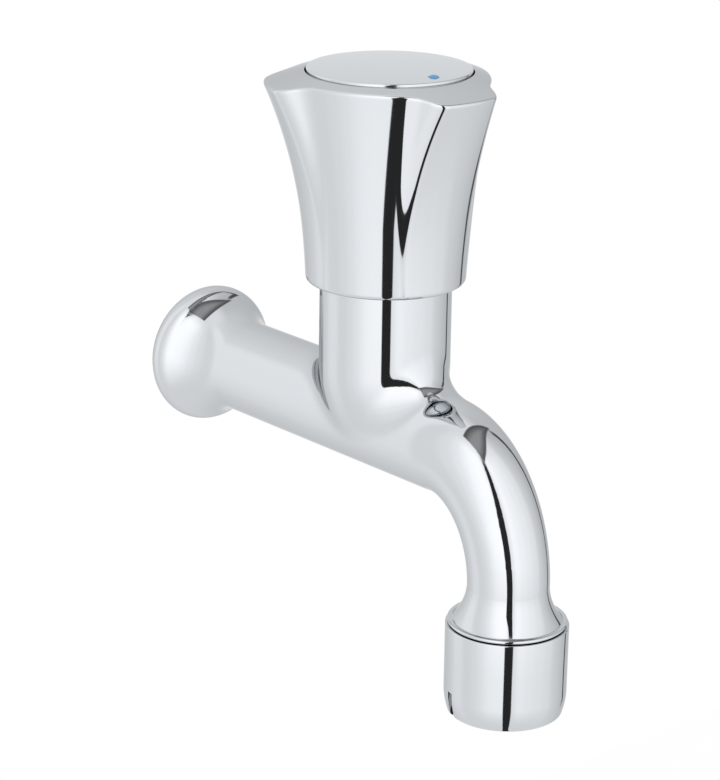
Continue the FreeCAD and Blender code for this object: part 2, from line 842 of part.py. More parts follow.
# plunger: six-sided, rises in the bonnet's guide and carries the valve washer
valve_plunger = turned(
    "valve_plunger",
    [
        ("0", "washer_foot - nut_height - 0.4"),
        ("spigot_radius", "washer_foot - nut_height - 0.4"),
        ("spigot_radius", "plunger_foot"),
        ("plunger_flange_radius", "plunger_foot"),
        ("plunger_flange_radius", "plunger_flange_top"),
        ("0", "plunger_flange_top"),
    ],
    y="-handle_axis",
)
add_prism(
    valve_plunger,
    "plunger_stem",
    hexagon("(guide_across - 2 * running_clearance)"),
    "plunger_flange_top",
    "plunger_top",
)
cut_round(
    valve_plunger,
    "plunger_bore",
    "spindle_thread_radius + thread_clearance",
    "0",
    "0",
    "plunger_bore_floor",
    "plunger_top + 1",
)
valve_washer = turned(
    "valve_washer",
    [
        ("spigot_radius + 0.02", "washer_foot"),
        ("washer_radius", "washer_foot"),
        ("washer_radius", "plunger_foot"),
        ("spigot_radius + 0.02", "plunger_foot"),
    ],
    y="-handle_axis",
)
washer_nut = new_body("washer_nut", "-handle_axis")
add_prism(washer_nut, "washer_nut_form", hexagon("nut_across"), "washer_foot - nut_height", "washer_foot")
cut_round(
    washer_nut,
    "washer_nut_bore",
    "spigot_radius + 0.02",
    "0",
    "0",
    "washer_foot - nut_height - 1",
    "washer_foot + 1",
)

# handle: three lobes that grow out of a waisted cone, which is flatter between them

def valley_outline(name, level, reach, bulge):
    """Three arcs that meet under the lobes; each stands reach from the axis and has bulge times that as radius."""
    sketch = doc.addObject("Sketcher::SketchObject", name)
    bind(sketch, "Placement.Base.z", level)
    corner = "(%s) / 2 * (1 - %s + sqrt((%s - 1)^2 + 8 * %s - 4))" % (reach, bulge, bulge, bulge)
    points = [("%s * sin(%d)" % (corner, turn), "-%s * cos(%d)" % (corner, turn)) for turn in (0, 120, 240)]
    draw(sketch, points, {side: ("(%s) * %s" % (reach, bulge), "left") for side in range(3)})
    return sketch


valley_sections = [
    valley_outline("valley_foot", "handle_foot", "handle_foot_radius - 0.3", "1"),
    valley_outline("valley_heel", "handle_foot + handle_foot_round * 0.35", "handle_foot_radius + 0.6", "1"),
    valley_outline("valley_shoulder", "foot_shoulder", "valley_foot_radius", "1"),
    valley_outline("valley_waist", "handle_foot + valley_waist_height", "valley_waist_radius", "1"),
    valley_outline("valley_rim", "valley_top_level", "valley_top_radius", "valley_bulge"),
    valley_outline("valley_top", "valley_top_level + rim_drop", "valley_top_radius - rim_round", "valley_bulge"),
    valley_outline("valley_seat", "rim_level", "cap_radius + cap_gap", "1"),
]
cone_form = doc.addObject("Part::Loft", "cone_form")
cone_form.Sections = valley_sections
cone_form.Solid = True
cone_form.Ruled = True
bind(cone_form, "Placement.Base.y", "-handle_axis")
doc.recompute()
trumpet_form = turned(
    "trumpet_form",
    [
        ("0", "handle_foot"),
        ("handle_foot_radius", "handle_foot"),
        ("lobe_foot_radius", "foot_shoulder"),
        ("lobe_tip_radius", "lobe_tip_level"),
        ("lobe_tip_radius - rim_round", "lobe_tip_level + rim_drop"),
        ("cap_radius + cap_gap", "rim_level"),
        ("0", "rim_level"),
    ],
    {2: ("lobe_arc_radius", "right")},
    y="-handle_axis",
)


def lobe_outline(name, level, lean):
    """Cross-section of a lobe, narrower outwards, at one level."""
    sketch = doc.addObject("Sketcher::SketchObject", name)
    bind(sketch, "Placement.Base.z", level)
    draw(
        sketch,
        [
            ("-lobe_half_inner + %s" % lean, "-lobe_inner_reach"),
            ("-lobe_half_outer + %s" % lean, "-lobe_outer_reach"),
            ("lobe_half_outer - %s" % lean, "-lobe_outer_reach"),
            ("lobe_half_inner - %s" % lean, "-lobe_inner_reach"),
        ],
    )
    return sketch


lobe_low = lobe_outline("lobe_low", "lobe_sketch_low", "lobe_lean")
lobe_high = lobe_outline("lobe_high", "lobe_sketch_high", "0")
lobes = []
for step in range(3):
    wedge = doc.addObject("Part::Loft", "lobe_wedge_%d" % step)
    wedge.Sections = [lobe_low, lobe_high]
    wedge.Solid = True
    wedge.Ruled = True
    wedge.Placement.Rotation = FreeCAD.Rotation(Vector(0, 0, 1), 120 * step + value("lobe_turn"))
    bind(wedge, "Placement.Base.y", "-handle_axis")
    lobes.append(wedge)
doc.recompute()
wedges = joined("Part::MultiFuse", "wedges", lobes)
lobe_form = joined("Part::MultiCommon", "lobe_form", [trumpet_form, wedges])
handle_form = joined("Part::MultiFuse", "handle_form", [cone_form, lobe_form])
handle_hollow = turned(
    "handle_hollow",
    [
        ("boss_radius", "boss_level"),
        ("0", "boss_level"),
        ("0", "handle_foot - 1"),
        ("cavity_radius", "handle_foot - 1"),
        ("cavity_radius", "cavity_top - 2"),
        ("cavity_radius - 2", "cavity_top"),
        ("boss_radius", "cavity_top"),
    ],
    y="-handle_axis",
)
cap_recess = turned(
    "cap_recess",
    [
        ("0", "web_top"),
        ("recess_radius", "web_top"),
        ("recess_radius", "cap_seat_level"),
        ("cap_radius + cap_gap", "cap_seat_level"),
        ("cap_radius + cap_gap", "rim_level + 2"),
        ("0", "rim_level + 2"),
    ],
    y="-handle_axis",
)
screw_way = turned(
    "screw_way",
    [
        ("0", "cavity_top - 1"),
        ("screw_pass_radius", "cavity_top - 1"),
        ("screw_pass_radius", "screw_seat"),
        ("counterbore_radius", "screw_seat"),
        ("counterbore_radius", "web_top + 1"),
        ("0", "web_top + 1"),
    ],
    y="-handle_axis",
)
insert_way = new_body("insert_way", "-handle_axis")
add_prism(insert_way, "insert_way_form", hexagon("insert_across"), "boss_level - 1", "cavity_top")
handle_ways = joined("Part::MultiFuse", "handle_ways", [handle_hollow, cap_recess, screw_way, insert_way])
handle_shell = cut_from("handle_shell", handle_form, handle_ways)

handle_insert = new_body("handle_insert", "-handle_axis")
add_prism(handle_insert, "insert_form", hexagon("insert_across"), "insert_foot", "cavity_top")
cut_round(
    handle_insert,
    "insert_bore",
    "spline_root_radius + running_clearance",
    "0",
    "0",
    "insert_foot - 1",
    "spindle_top",
)
tooth_way = cut_prism(
    handle_insert,
    "insert_tooth",
    [
        ("spline_root_radius - 0.2", "-spline_half_width - running_clearance"),
        ("spline_radius + running_clearance", "-spline_half_width / 3 - running_clearance"),
        ("spline_radius + running_clearance", "spline_half_width / 3 + running_clearance"),
        ("spline_root_radius - 0.2", "spline_half_width + running_clearance"),
    ],
    "insert_foot - 1",
    "spindle_top",
)
around(handle_insert, "insert_teeth", tooth_way, "spline_count")
cut_round(handle_insert, "insert_screw_hole", "screw_pass_radius", "0", "0", "spindle_top - 1", "cavity_top + 1")
handle_screw = turned(
    "handle_screw",
    [
        ("0", "screw_tip"),
        ("screw_shank_radius - 0.4", "screw_tip"),
        ("screw_shank_radius", "screw_tip + 0.4"),
        ("screw_shank_radius", "screw_seat"),
        ("screw_head_radius", "screw_seat"),
        ("screw_head_radius", "screw_seat + screw_head_height - 0.5"),
        ("screw_head_radius - 0.5", "screw_seat + screw_head_height"),
        ("0", "screw_seat + screw_head_height"),
    ],
    y="-handle_axis",
)
cut_prism(
    handle_screw,
    "screw_key",
    hexagon("screw_key_across"),
    "screw_seat + screw_head_height - screw_key_depth",
    "screw_seat + screw_head_height",
)

# cap pressed into the top of the handle, with its colour dot
handle_cap = turned(
    "handle_cap",
    [
        ("0", "cap_seat_level"),
        ("cap_ring_inner", "cap_seat_level"),
        ("cap_ring_inner", "cap_ring_foot"),
        ("cap_ring_outer", "cap_ring_foot"),
        ("cap_ring_outer", "cap_seat_level"),
        ("cap_radius", "cap_seat_level"),
        ("cap_radius", "cap_edge_level"),
        ("cap_radius - cap_round * 0.25", "cap_edge_level + cap_round * 0.7"),
        ("cap_radius - cap_round", "cap_edge_level + cap_round"),
        ("0", "cap_crown_level"),
    ],
    y="-handle_axis",
)
DOT_X = "dot_reach * sin(dot_angle)"
DOT_Y = "-dot_reach * cos(dot_angle)"
cut_round(handle_cap, "dot_pocket", "dot_radius", DOT_X, DOT_Y, "dot_floor", "cap_crown_level + 1")
index_dot = doc.addObject("Part::Cylinder", "index_dot")
index_dot.Label = "index_dot"
bind(index_dot, "Radius", "dot_radius")
bind(index_dot, "Height", "dot_top - dot_floor")
bind(index_dot, "Placement.Base.x", DOT_X)
bind(index_dot, "Placement.Base.y", "-handle_axis + " + DOT_Y)
bind(index_dot, "Placement.Base.z", "dot_floor")

# aerator: screwed shell, gasket, cup and its three plates
aerator_shell = turned(
    "aerator_shell",
    [
        ("spout_thread_radius + thread_clearance", "shell_top"),
        ("spout_thread_radius + thread_clearance", "shell_ledge"),
        ("shell_lower_bore", "shell_ledge"),
        ("shell_lower_bore", "shell_foot"),
        ("shell_radius - shell_taper - shell_edge", "shell_foot"),
        ("shell_radius - shell_taper", "shell_foot + shell_edge"),
        ("shell_radius", "shell_foot + shell_edge + shell_taper_rise"),
        ("shell_radius", "shell_top - shell_edge_chamfer"),
        ("shell_radius - shell_edge_chamfer", "shell_top"),
    ],
    {5: ("(shell_taper^2 + shell_taper_rise^2) / (2 * shell_taper)", "left")},
    y="-spout_axis",
)
notch_sketch = sketch_on(aerator_shell, "wrench_notch_outline", "XY_Plane", "shell_foot + notch_height")
draw(
    notch_sketch,
    [
        ("shell_radius - notch_depth", "-notch_width / 2"),
        ("shell_radius + 2", "-notch_width / 2"),
        ("shell_radius + 2", "notch_width / 2"),
        ("shell_radius - notch_depth", "notch_width / 2"),
    ],
)
notch = aerator_shell.newObject("PartDesign::Pocket", "wrench_notch")
notch.Profile = notch_sketch
bind(notch, "Length", "notch_height + 1")
doc.recompute()
around(aerator_shell, "wrench_notches", notch, "2")
bind(aerator_shell, "Placement.Rotation.Angle", "(notch_angle - 90) * 1 deg")
aerator_gasket = turned(
    "aerator_gasket",
    [
        ("aerator_gasket_inner", "gasket_foot"),
        ("spout_thread_radius", "gasket_foot"),
        ("spout_thread_radius", "spout_foot_level"),
        ("aerator_gasket_inner", "spout_foot_level"),
    ],
    y="-spout_axis",
)
aerator_cup = turned(
    "aerator_cup",
    [
        ("cup_bore", "gasket_foot"),
        ("cup_bore", "cup_ledge"),
        ("cup_lower_bore", "cup_ledge"),
        ("cup_lower_bore", "cup_lower_ledge"),
        ("cup_mouth", "cup_lower_ledge"),
        ("cup_mouth", "cup_foot"),
        ("cup_radius", "cup_foot"),
        ("cup_radius", "shell_ledge"),
        ("cup_flange_radius", "shell_ledge"),
        ("cup_flange_radius", "gasket_foot"),
    ],
    y="-spout_axis",
)
aerator_diffuser = turned(
    "aerator_diffuser",
    [
        ("0", "cup_ledge"),
        ("cup_bore - running_clearance", "cup_ledge"),
        ("cup_bore - running_clearance", "cup_ledge + diffuser_thickness"),
        ("0", "cup_ledge + diffuser_thickness"),
    ],
    y="-spout_axis",
)
jet = cut_prism(
    aerator_diffuser,
    "diffuser_jet",
    [
        ("diffuser_jet_ring - diffuser_jet_length / 2", "-diffuser_jet_width / 2"),
        ("diffuser_jet_ring + diffuser_jet_length / 2", "-diffuser_jet_width / 2"),
        ("diffuser_jet_ring + diffuser_jet_length / 2", "diffuser_jet_width / 2"),
        ("diffuser_jet_ring - diffuser_jet_length / 2", "diffuser_jet_width / 2"),
    ],
    "cup_ledge - 1",
    "cup_ledge + diffuser_thickness + 1",
)
around(aerator_diffuser, "diffuser_jets_round", jet, "diffuser_jets")
aerator_grid = turned(
    "aerator_grid",
    [
        ("0", "cup_lower_ledge"),
        ("cup_lower_bore - running_clearance", "cup_lower_ledge"),
        ("cup_lower_bore - running_clearance", "grid_top"),
        ("0", "grid_top"),
    ],
    y="-spout_axis",
)
cell_low = "cup_lower_ledge - 1"
cell_high = "grid_top + 1"
cut_prism(aerator_grid, "grid_centre", hexagon("grid_across", 30), cell_low, cell_high)


def moved(points, across, up):
    return [("%s + %s" % (x, across), "%s + %s" % (y, up)) for x, y in points]


cell = hexagon("grid_across", 30)
for label, across, up in (
    ("near", "grid_pitch", "0"),
    ("far", "2 * grid_pitch", "0"),
    ("between", "1.5 * grid_pitch", "grid_pitch * sqrt(3) / 2"),
):
    hole = cut_prism(aerator_grid, "grid_" + label, moved(cell, across, up), cell_low, cell_high)
    around(aerator_grid, "grid_%s_ring" % label, hole, "6")
aerator_screen = turned(
    "aerator_screen",
    [
        ("0", "grid_top"),
        ("cup_lower_bore - running_clearance", "grid_top"),
        ("cup_lower_bore - running_clearance", "screen_top"),
        ("0", "screen_top"),
    ],
    y="-spout_axis",
)
for label, reach, count in (("inner", "screen_inner_ring", "6"), ("outer", "screen_outer_ring", "12")):
    hole = cut_prism(
        aerator_screen,
        "screen_" + label,
        moved(hexagon("screen_hole_across"), reach, "0"),
        "grid_top - 1",
        "screen_top + 1",
    )
    around(aerator_screen, "screen_%s_ring" % label, hole, count)

PIECES = [
    tap_body,
    inlet_nipple,
    nipple_seal,
    bonnet,
    bonnet_gasket,
    spindle,
    spindle_seal_low,
    spindle_seal_high,
    spindle_clip,
    thrust_washer,
    valve_plunger,
    valve_washer,
    washer_nut,
    handle_shell,
    handle_insert,
    handle_screw,
    handle_cap,
    index_dot,
    aerator_shell,
    aerator_gasket,
    aerator_cup,
    aerator_diffuser,
    aerator_screen,
    aerator_grid,
]

doc.recompute()
for item in doc.Objects:
    if "Invalid" in item.State or "Error" in item.State:
        raise RuntimeError("%s was not built: %s" % (item.Name, item.State))
os.makedirs("parts", exist_ok=True)
for piece in PIECES:
    shape = piece.Shape
    if shape.isNull() or not shape.isValid():
        raise RuntimeError("%s has no sound shape" % piece.Label)
    if len(shape.Solids) != 1:
        raise RuntimeError("%s has %d solids" % (piece.Label, len(shape.Solids)))
    box = shape.BoundBox
    low = "%.2f %.2f %.2f" % (box.XMin, box.YMin, box.ZMin)
    high = "%.2f %.2f %.2f" % (box.XMax, box.YMax, box.ZMax)
    print("%-20s %10.1f mm3   %s  to  %s" % (piece.Label, shape.Volume, low, high))
    shape.exportStep(os.path.join("parts", piece.Label + ".step"))
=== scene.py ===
import json
import math

import bmesh
import bpy
import numpy as np
from bpy.props import FloatProperty, FloatVectorProperty, IntProperty, PointerProperty
from mathutils import Matrix, Vector


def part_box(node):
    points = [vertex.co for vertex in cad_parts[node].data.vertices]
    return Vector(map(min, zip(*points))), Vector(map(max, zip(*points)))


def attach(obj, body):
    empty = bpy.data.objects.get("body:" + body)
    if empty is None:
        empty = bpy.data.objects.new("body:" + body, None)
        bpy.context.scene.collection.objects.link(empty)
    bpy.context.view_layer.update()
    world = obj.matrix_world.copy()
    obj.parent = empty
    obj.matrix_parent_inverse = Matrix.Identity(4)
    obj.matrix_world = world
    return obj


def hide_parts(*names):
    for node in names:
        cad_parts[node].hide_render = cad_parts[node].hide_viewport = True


bl_info = {
    "name": "Wall-mounted water tap",
    "version": (1, 0, 0),
    "blender": (4, 5, 0),
    "location": "3D View > Sidebar > Water tap",
    "description": "Dresses the packed tap: polished skins, screwed parts, seals and the studio",
    "category": "Object",
}

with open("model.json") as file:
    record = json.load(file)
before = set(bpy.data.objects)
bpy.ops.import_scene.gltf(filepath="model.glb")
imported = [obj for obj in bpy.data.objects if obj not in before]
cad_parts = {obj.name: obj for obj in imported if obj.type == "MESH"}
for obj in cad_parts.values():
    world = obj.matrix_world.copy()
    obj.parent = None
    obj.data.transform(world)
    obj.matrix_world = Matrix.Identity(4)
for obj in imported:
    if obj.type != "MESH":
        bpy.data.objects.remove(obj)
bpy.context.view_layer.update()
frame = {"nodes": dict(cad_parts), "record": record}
MM = 0.001

# places read from the packed frame, in millimetres
BODY_LOW, BODY_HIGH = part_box("tap_body")
HANDLE_LOW, HANDLE_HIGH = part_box("handle_shell")
CAP_LOW, CAP_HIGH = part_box("handle_cap")
SHELL_LOW, SHELL_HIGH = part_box("aerator_shell")
DOT_LOW, DOT_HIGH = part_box("index_dot")
NIPPLE_LOW, NIPPLE_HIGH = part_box("inlet_nipple")
GRID_LOW, GRID_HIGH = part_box("aerator_grid")
SCREEN_LOW, SCREEN_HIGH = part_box("aerator_screen")
HANDLE_AXIS = -(CAP_LOW.y + CAP_HIGH.y) / 2 / MM
SPOUT_AXIS = -(SHELL_LOW.y + SHELL_HIGH.y) / 2 / MM


def length(name, description, default):
    """A size in millimetres, kept as Blender keeps lengths."""
    return FloatProperty(name=name, description=description, default=default * MM, unit="LENGTH", precision=5)


def tint(name, description, default):
    """A colour, each part between 0 and 1."""
    return FloatVectorProperty(
        name=name, description=description, default=default, size=3, min=0.0, max=1.0, subtype="COLOR"
    )


class TapBodySizes(bpy.types.PropertyGroup):
    """Outer sizes of the cast body."""

    tube_radius: length("Tube radius", "Radius of the straight tube", 11.0)
    bead_radius: length("Flange bead", "Radius of the flange's rounded edge", 4.9)
    bead_ring: length("Bead ring", "Distance of the bead's centre from the tube's axis", 11.9)
    flare_end: length("Flare end", "Where the flange has run out into the tube", 20.5)
    bead_turn: FloatProperty(
        name="Bead turn", description="Angle over which the bead rolls before the flare",
        default=math.radians(130.78), subtype="ANGLE",
    )
    neck_radius: length("Neck radius", "Radius of the vertical neck", 15.1)
    bowl_top: length("Bowl top", "Level at which the neck starts to close", 14.0)
    bowl_cover: length("Bowl cover", "Height of the bowl's foot above the tube's underside", 1.5)
    bowl_tip: length("Bowl tip", "Radius of the bowl's flat foot", 4.0)
    blend_radius: length("Blend radius", "Radius of the blend between neck and tube", 8.8)
    bend_start: length("Bend start", "Distance from the wall to the start of the spout's bend", 90.95)
    bend_drop: length("Bend drop", "Height of the spout's bend", 27.3)
    spout_middle: length("Spout middle", "Radius that steers the taper of the spout", 9.3)
    spout_end: length("Spout end", "Radius of the spout at the foot of its bend", 9.25)
    flare_level: length("Flare level", "Level at which the spout starts to flare", -28.3)
    flare_foot: length("Flare foot", "Radius of the spout where it starts to flare", 9.35)
    flare_arc: length("Flare arc", "Radius of the flare's hollow", 12.0)
    flare_mouth: length("Flare mouth", "Radius of the spout where its flare meets the lip", 12.6)
    lip_radius: length("Lip radius", "Radius of the spout's lip", 13.5)


class HandleSizes(bpy.types.PropertyGroup):
    """Sizes of the lobed handle."""

    foot_radius: length("Foot radius", "Radius of the handle's foot", 17.36)
    shoulder: length("Shoulder", "Height of the foot's rounding", 1.1)
    valley_foot: length("Valley foot", "Radius between the lobes at the foot", 18.2)
    valley_waist: length("Valley waist", "Radius between the lobes at the waist", 19.25)
    waist_level: length("Waist level", "Level of the waist", 49.9)
    valley_top: length("Valley top", "Radius between the lobes at the rim", 22.4)
    valley_level: length("Valley level", "Level of the rim between the lobes", 80.4)
    valley_bulge: FloatProperty(
        name="Valley bulge", default=1.3, min=1.0, max=1.6,
        description="Radius of the flatter arc between the lobes, in distances from the axis",
    )
    lobe_foot: length("Lobe foot", "Radius of the lobes at the foot", 18.3)
    lobe_tip: length("Lobe tip", "Radius of the lobes at the rim", 27.85)
    lobe_level: length("Lobe level", "Level of the rim at the lobes' tips", 78.9)
    lobe_arc: length("Lobe arc", "Radius of the lobes' flared profile", 118.0)
    lobe_half: length("Lobe half width", "Half of a lobe's width at 10 mm from the axis, at the top", 15.9)
    lobe_taper: FloatProperty(name="Lobe taper", description="Narrowing of a lobe outwards", default=0.436)
    lobe_lean: length("Lobe lean", "How much narrower a lobe is at the foot", 4.8)
    lobe_edge: length("Lobe edge", "Softness of the lobes' long edges at the top", 2.6)
    lobe_hollow: length("Lobe hollow", "Softness of the hollow beside a lobe at the top", 1.6)
    seat_rise: length("Seat rise", "Height of the top's inner edge over the packed model's", 0.5)
    rim_round: length("Rim rounding", "Radius of the rim's edge", 0.7)
    rim_drop: length("Rim drop", "Height over which the rim is rounded", 0.8)


class CapSizes(bpy.types.PropertyGroup):
    """Sizes of the cap and its dot."""

    radius: length("Radius", "Radius of the cap", 18.55)
    edge_level: length("Edge level", "Level at which the cap's edge starts to round", 82.25)
    edge_round: length("Edge rounding", "Radius of the cap's edge", 0.4)
    crown: length("Crown", "Level of the cap's middle", 83.1)
    dot_radius: length("Dot radius", "Radius of the coloured dot", 1.25)
    dot_dome: length("Dot dome", "Height of the dot's dome", 0.6)


class AeratorSizes(bpy.types.PropertyGroup):
    """Sizes of the screwed outlet."""

    radius: length("Radius", "Radius of the shell", 13.9)
    taper: length("Taper", "How much the shell draws in at its foot", 0.8)
    taper_rise: length("Taper height", "Height over which the shell draws in", 5.0)
    foot_round: length("Foot rounding", "Rounding of the shell's foot", 0.35)
    top_round: length("Top rounding", "Rounding of the shell's top edge", 0.3)
    notch_width: length("Notch width", "Width of a wrench notch", 1.8)
    notch_height: length("Notch height", "Height of a wrench notch", 6.0)
    notch_depth: length("Notch depth", "Depth of a wrench notch", 1.2)
    notch_angle: FloatProperty(
        name="Notch angle", description="Turn of the notches", default=math.radians(-106.0), subtype="ANGLE"
    )
    cell_across: length("Cell", "Width of one opening of the outlet grid", 2.3)
    cell_pitch: length("Cell pitch", "Distance between the openings of the outlet grid", 2.8)
    wire_gap: length("Wire gap", "Distance between the wires of the screen", 0.9)
    wire_radius: length("Wire radius", "Radius of the screen's wire", 0.11)


class TapFinishes(bpy.types.PropertyGroup):
    """Colours of the tap, its thread pitch and the fineness of turned pieces."""

    chrome: tint("Chrome", "Colour of the polished chrome plating", (0.600, 0.615, 0.635))
    brass: tint("Brass", "Colour of the turned brass", (0.78, 0.57, 0.27))
    rubber: tint("Rubber", "Colour of the seals", (0.022, 0.022, 0.024))
    dot: tint("Dot", "Colour of the cold-water dot", (0.12, 0.33, 0.60))
    thread_pitch: length("Thread pitch", "Pitch of the inlet's thread", 1.814)
    segments: IntProperty(name="Segments", description="Round segments of turned pieces", default=256, min=24)


GROUPS = (
    ("tap_body_sizes", TapBodySizes),
    ("handle_sizes", HandleSizes),
    ("cap_sizes", CapSizes),
    ("aerator_sizes", AeratorSizes),
    ("tap_finishes", TapFinishes),
)


# meshes

POLE_RADIUS = 1e-6  # a ring of a smaller radius is a single point


def mesh_object(name, points, faces):
    """Smooth object at the origin from points in millimetres."""
    mesh = bpy.data.meshes.new(name)
    mesh.from_pydata([tuple(float(c) * MM for c in point) for point in points], [], faces)
    mesh.update()
    mesh.polygons.foreach_set("use_smooth", [True] * len(mesh.polygons))
    piece = bpy.data.objects.new(name, mesh)
    bpy.context.scene.collection.objects.link(piece)
    return piece


def crease(piece, degrees=35.0):
    """Smooth faces, with sharp edges where the surface turns quickly."""
    for polygon in piece.data.polygons:
        polygon.use_smooth = True
    work = bmesh.new()
    work.from_mesh(piece.data)
    limit = math.radians(degrees)
    for edge in work.edges:
        edge.smooth = edge.is_manifold and edge.calc_face_angle(0.0) < limit
    work.to_mesh(piece.data)
    work.free()


def turned_mesh(name, profile, axis_point, segments):
    """Closed body of revolution about an upright axis.

    The profile holds (radius, level) pairs, from pole to pole or as a closed ring.
    """
    points = []
    rings = []
    for radius, level in profile:
        start = len(points)
        if radius < POLE_RADIUS:
            points.append((axis_point[0], axis_point[1], level))
        else:
            for step in range(segments):
                angle = 2 * math.pi * step / segments
                x, y = radius * math.cos(angle), radius * math.sin(angle)
                points.append((axis_point[0] + x, axis_point[1] + y, level))
        rings.append(range(start, len(points)))
    closed = len(rings[0]) > 1 and len(rings[-1]) > 1
    count = len(rings)
    faces = []
    for index in range(count if closed else count - 1):
        faces.extend(band(rings[index], rings[(index + 1) % count], segments))
    piece = mesh_object(name, points, faces)
    outward(piece)
    crease(piece)
    return piece


def looped_mesh(name, points, columns):
    """Closed skin through rings of points, each with so many columns; the last ring meets the first."""
    rings = [range(start, start + columns) for start in range(0, len(points), columns)]
    faces = []
    for lower, upper in zip(rings, rings[1:] + rings[:1]):
        faces.extend(band(lower, upper, columns))
    piece = mesh_object(name, points, faces)
    outward(piece)
    return piece


def band(lower, upper, segments):
    """Faces between two rings, either of which may be a single point."""
    faces = []
    for step in range(segments):
        ahead = (step + 1) % segments
        if len(lower) == 1 and len(upper) == 1:
            continue
        if len(lower) == 1:
            faces.append((lower[0], upper[ahead], upper[step]))
        elif len(upper) == 1:
            faces.append((lower[step], lower[ahead], upper[0]))
        else:
            faces.append((lower[step], lower[ahead], upper[ahead], upper[step]))
    return faces


def outward(piece):
    """Turns every face of a closed mesh outwards."""
    work = bmesh.new()
    work.from_mesh(piece.data)
    bmesh.ops.recalc_face_normals(work, faces=work.faces)
    work.to_mesh(piece.data)
    work.free()


def rounded(before, corner, after, radius, steps):
    """Points of an arc that rounds the corner of a profile."""
    corner = np.array(corner, float)
    first = np.array(before, float) - corner
    second = np.array(after, float) - corner
    first /= np.linalg.norm(first)
    second /= np.linalg.norm(second)
    half = math.acos(float(np.clip(first @ second, -1, 1))) / 2
    reach = radius / math.tan(half)
    middle = (first + second) / np.linalg.norm(first + second)
    centre = corner + middle * (radius / math.sin(half))
    start = corner + first * reach - centre
    finish = corner + second * reach - centre
    sweep = math.atan2(start[0] * finish[1] - start[1] * finish[0], float(start @ finish))
    points = []
    for step in range(steps + 1):
        angle = sweep * step / steps
        c, s = math.cos(angle), math.sin(angle)
        points.append((centre[0] + c * start[0] - s * start[1], centre[1] + s * start[0] + c * start[1]))
    return points


def rounded_profile(corners, steps):
    """Profile from (radius, level, rounding) corners; a rounding of 0 keeps the corner."""
    points = []
    for index, (radius, level, size) in enumerate(corners):
        if size > 0:
            before, after = corners[index - 1][:2], corners[index + 1][:2]
            points.extend(rounded(before, (radius, level), after, size, steps))
        else:
            points.append((radius, level))
    return points


def applied(piece):
    """Plain mesh of a piece with its modifiers, which are then removed."""
    graph = bpy.context.evaluated_depsgraph_get()
    mesh = bpy.data.meshes.new_from_object(piece.evaluated_get(graph))
    piece.modifiers.clear()
    piece.data = mesh
    return piece


# the body's skin as a distance field, in millimetres

SKIN_LOW = (-18.6, -124.6, -39.0)  # corners of the block in which the skin is looked for
SKIN_HIGH = (18.6, 1.2, 40.4)
SKIN_PITCH = 1.02  # width of the block's cells
FIELD_PARTS = 8  # parts of the block that are worked out one after another
SLOPE_STEP = 0.02  # distance over which a field's slope is taken
SMALLEST_SLOPE = 0.05  # square of the slope that a step still trusts
LONGEST_STEP = 1.0
RELAX_SHARE = 0.5  # share of the way to the middle of its neighbours that a point goes
RELAX_TURNS = 4
BEND_TURNS = 5  # rounds in which the nearest point of the bend is found
TAPER_START = 0.06  # share of the bend over which the spout's taper sets in
BEND_REACH = 6.0  # depth under the tube from which the spout's foot counts before the bend too
BLEND_DEPTHS = (-2.5, -9.0)  # depths in the tube and in the neck down to which the blend is worked out
BOWL_FOOT_LEVEL = -7.0  # under this level and within this radius the bowl's foot has no blend
BOWL_FOOT_RADIUS = 5.5
STEEPEST = 0.999  # cosine at which two skins count as parallel
LIP_THICKNESS = 0.8
SPOUT_THREAD_LENGTH = 8.0


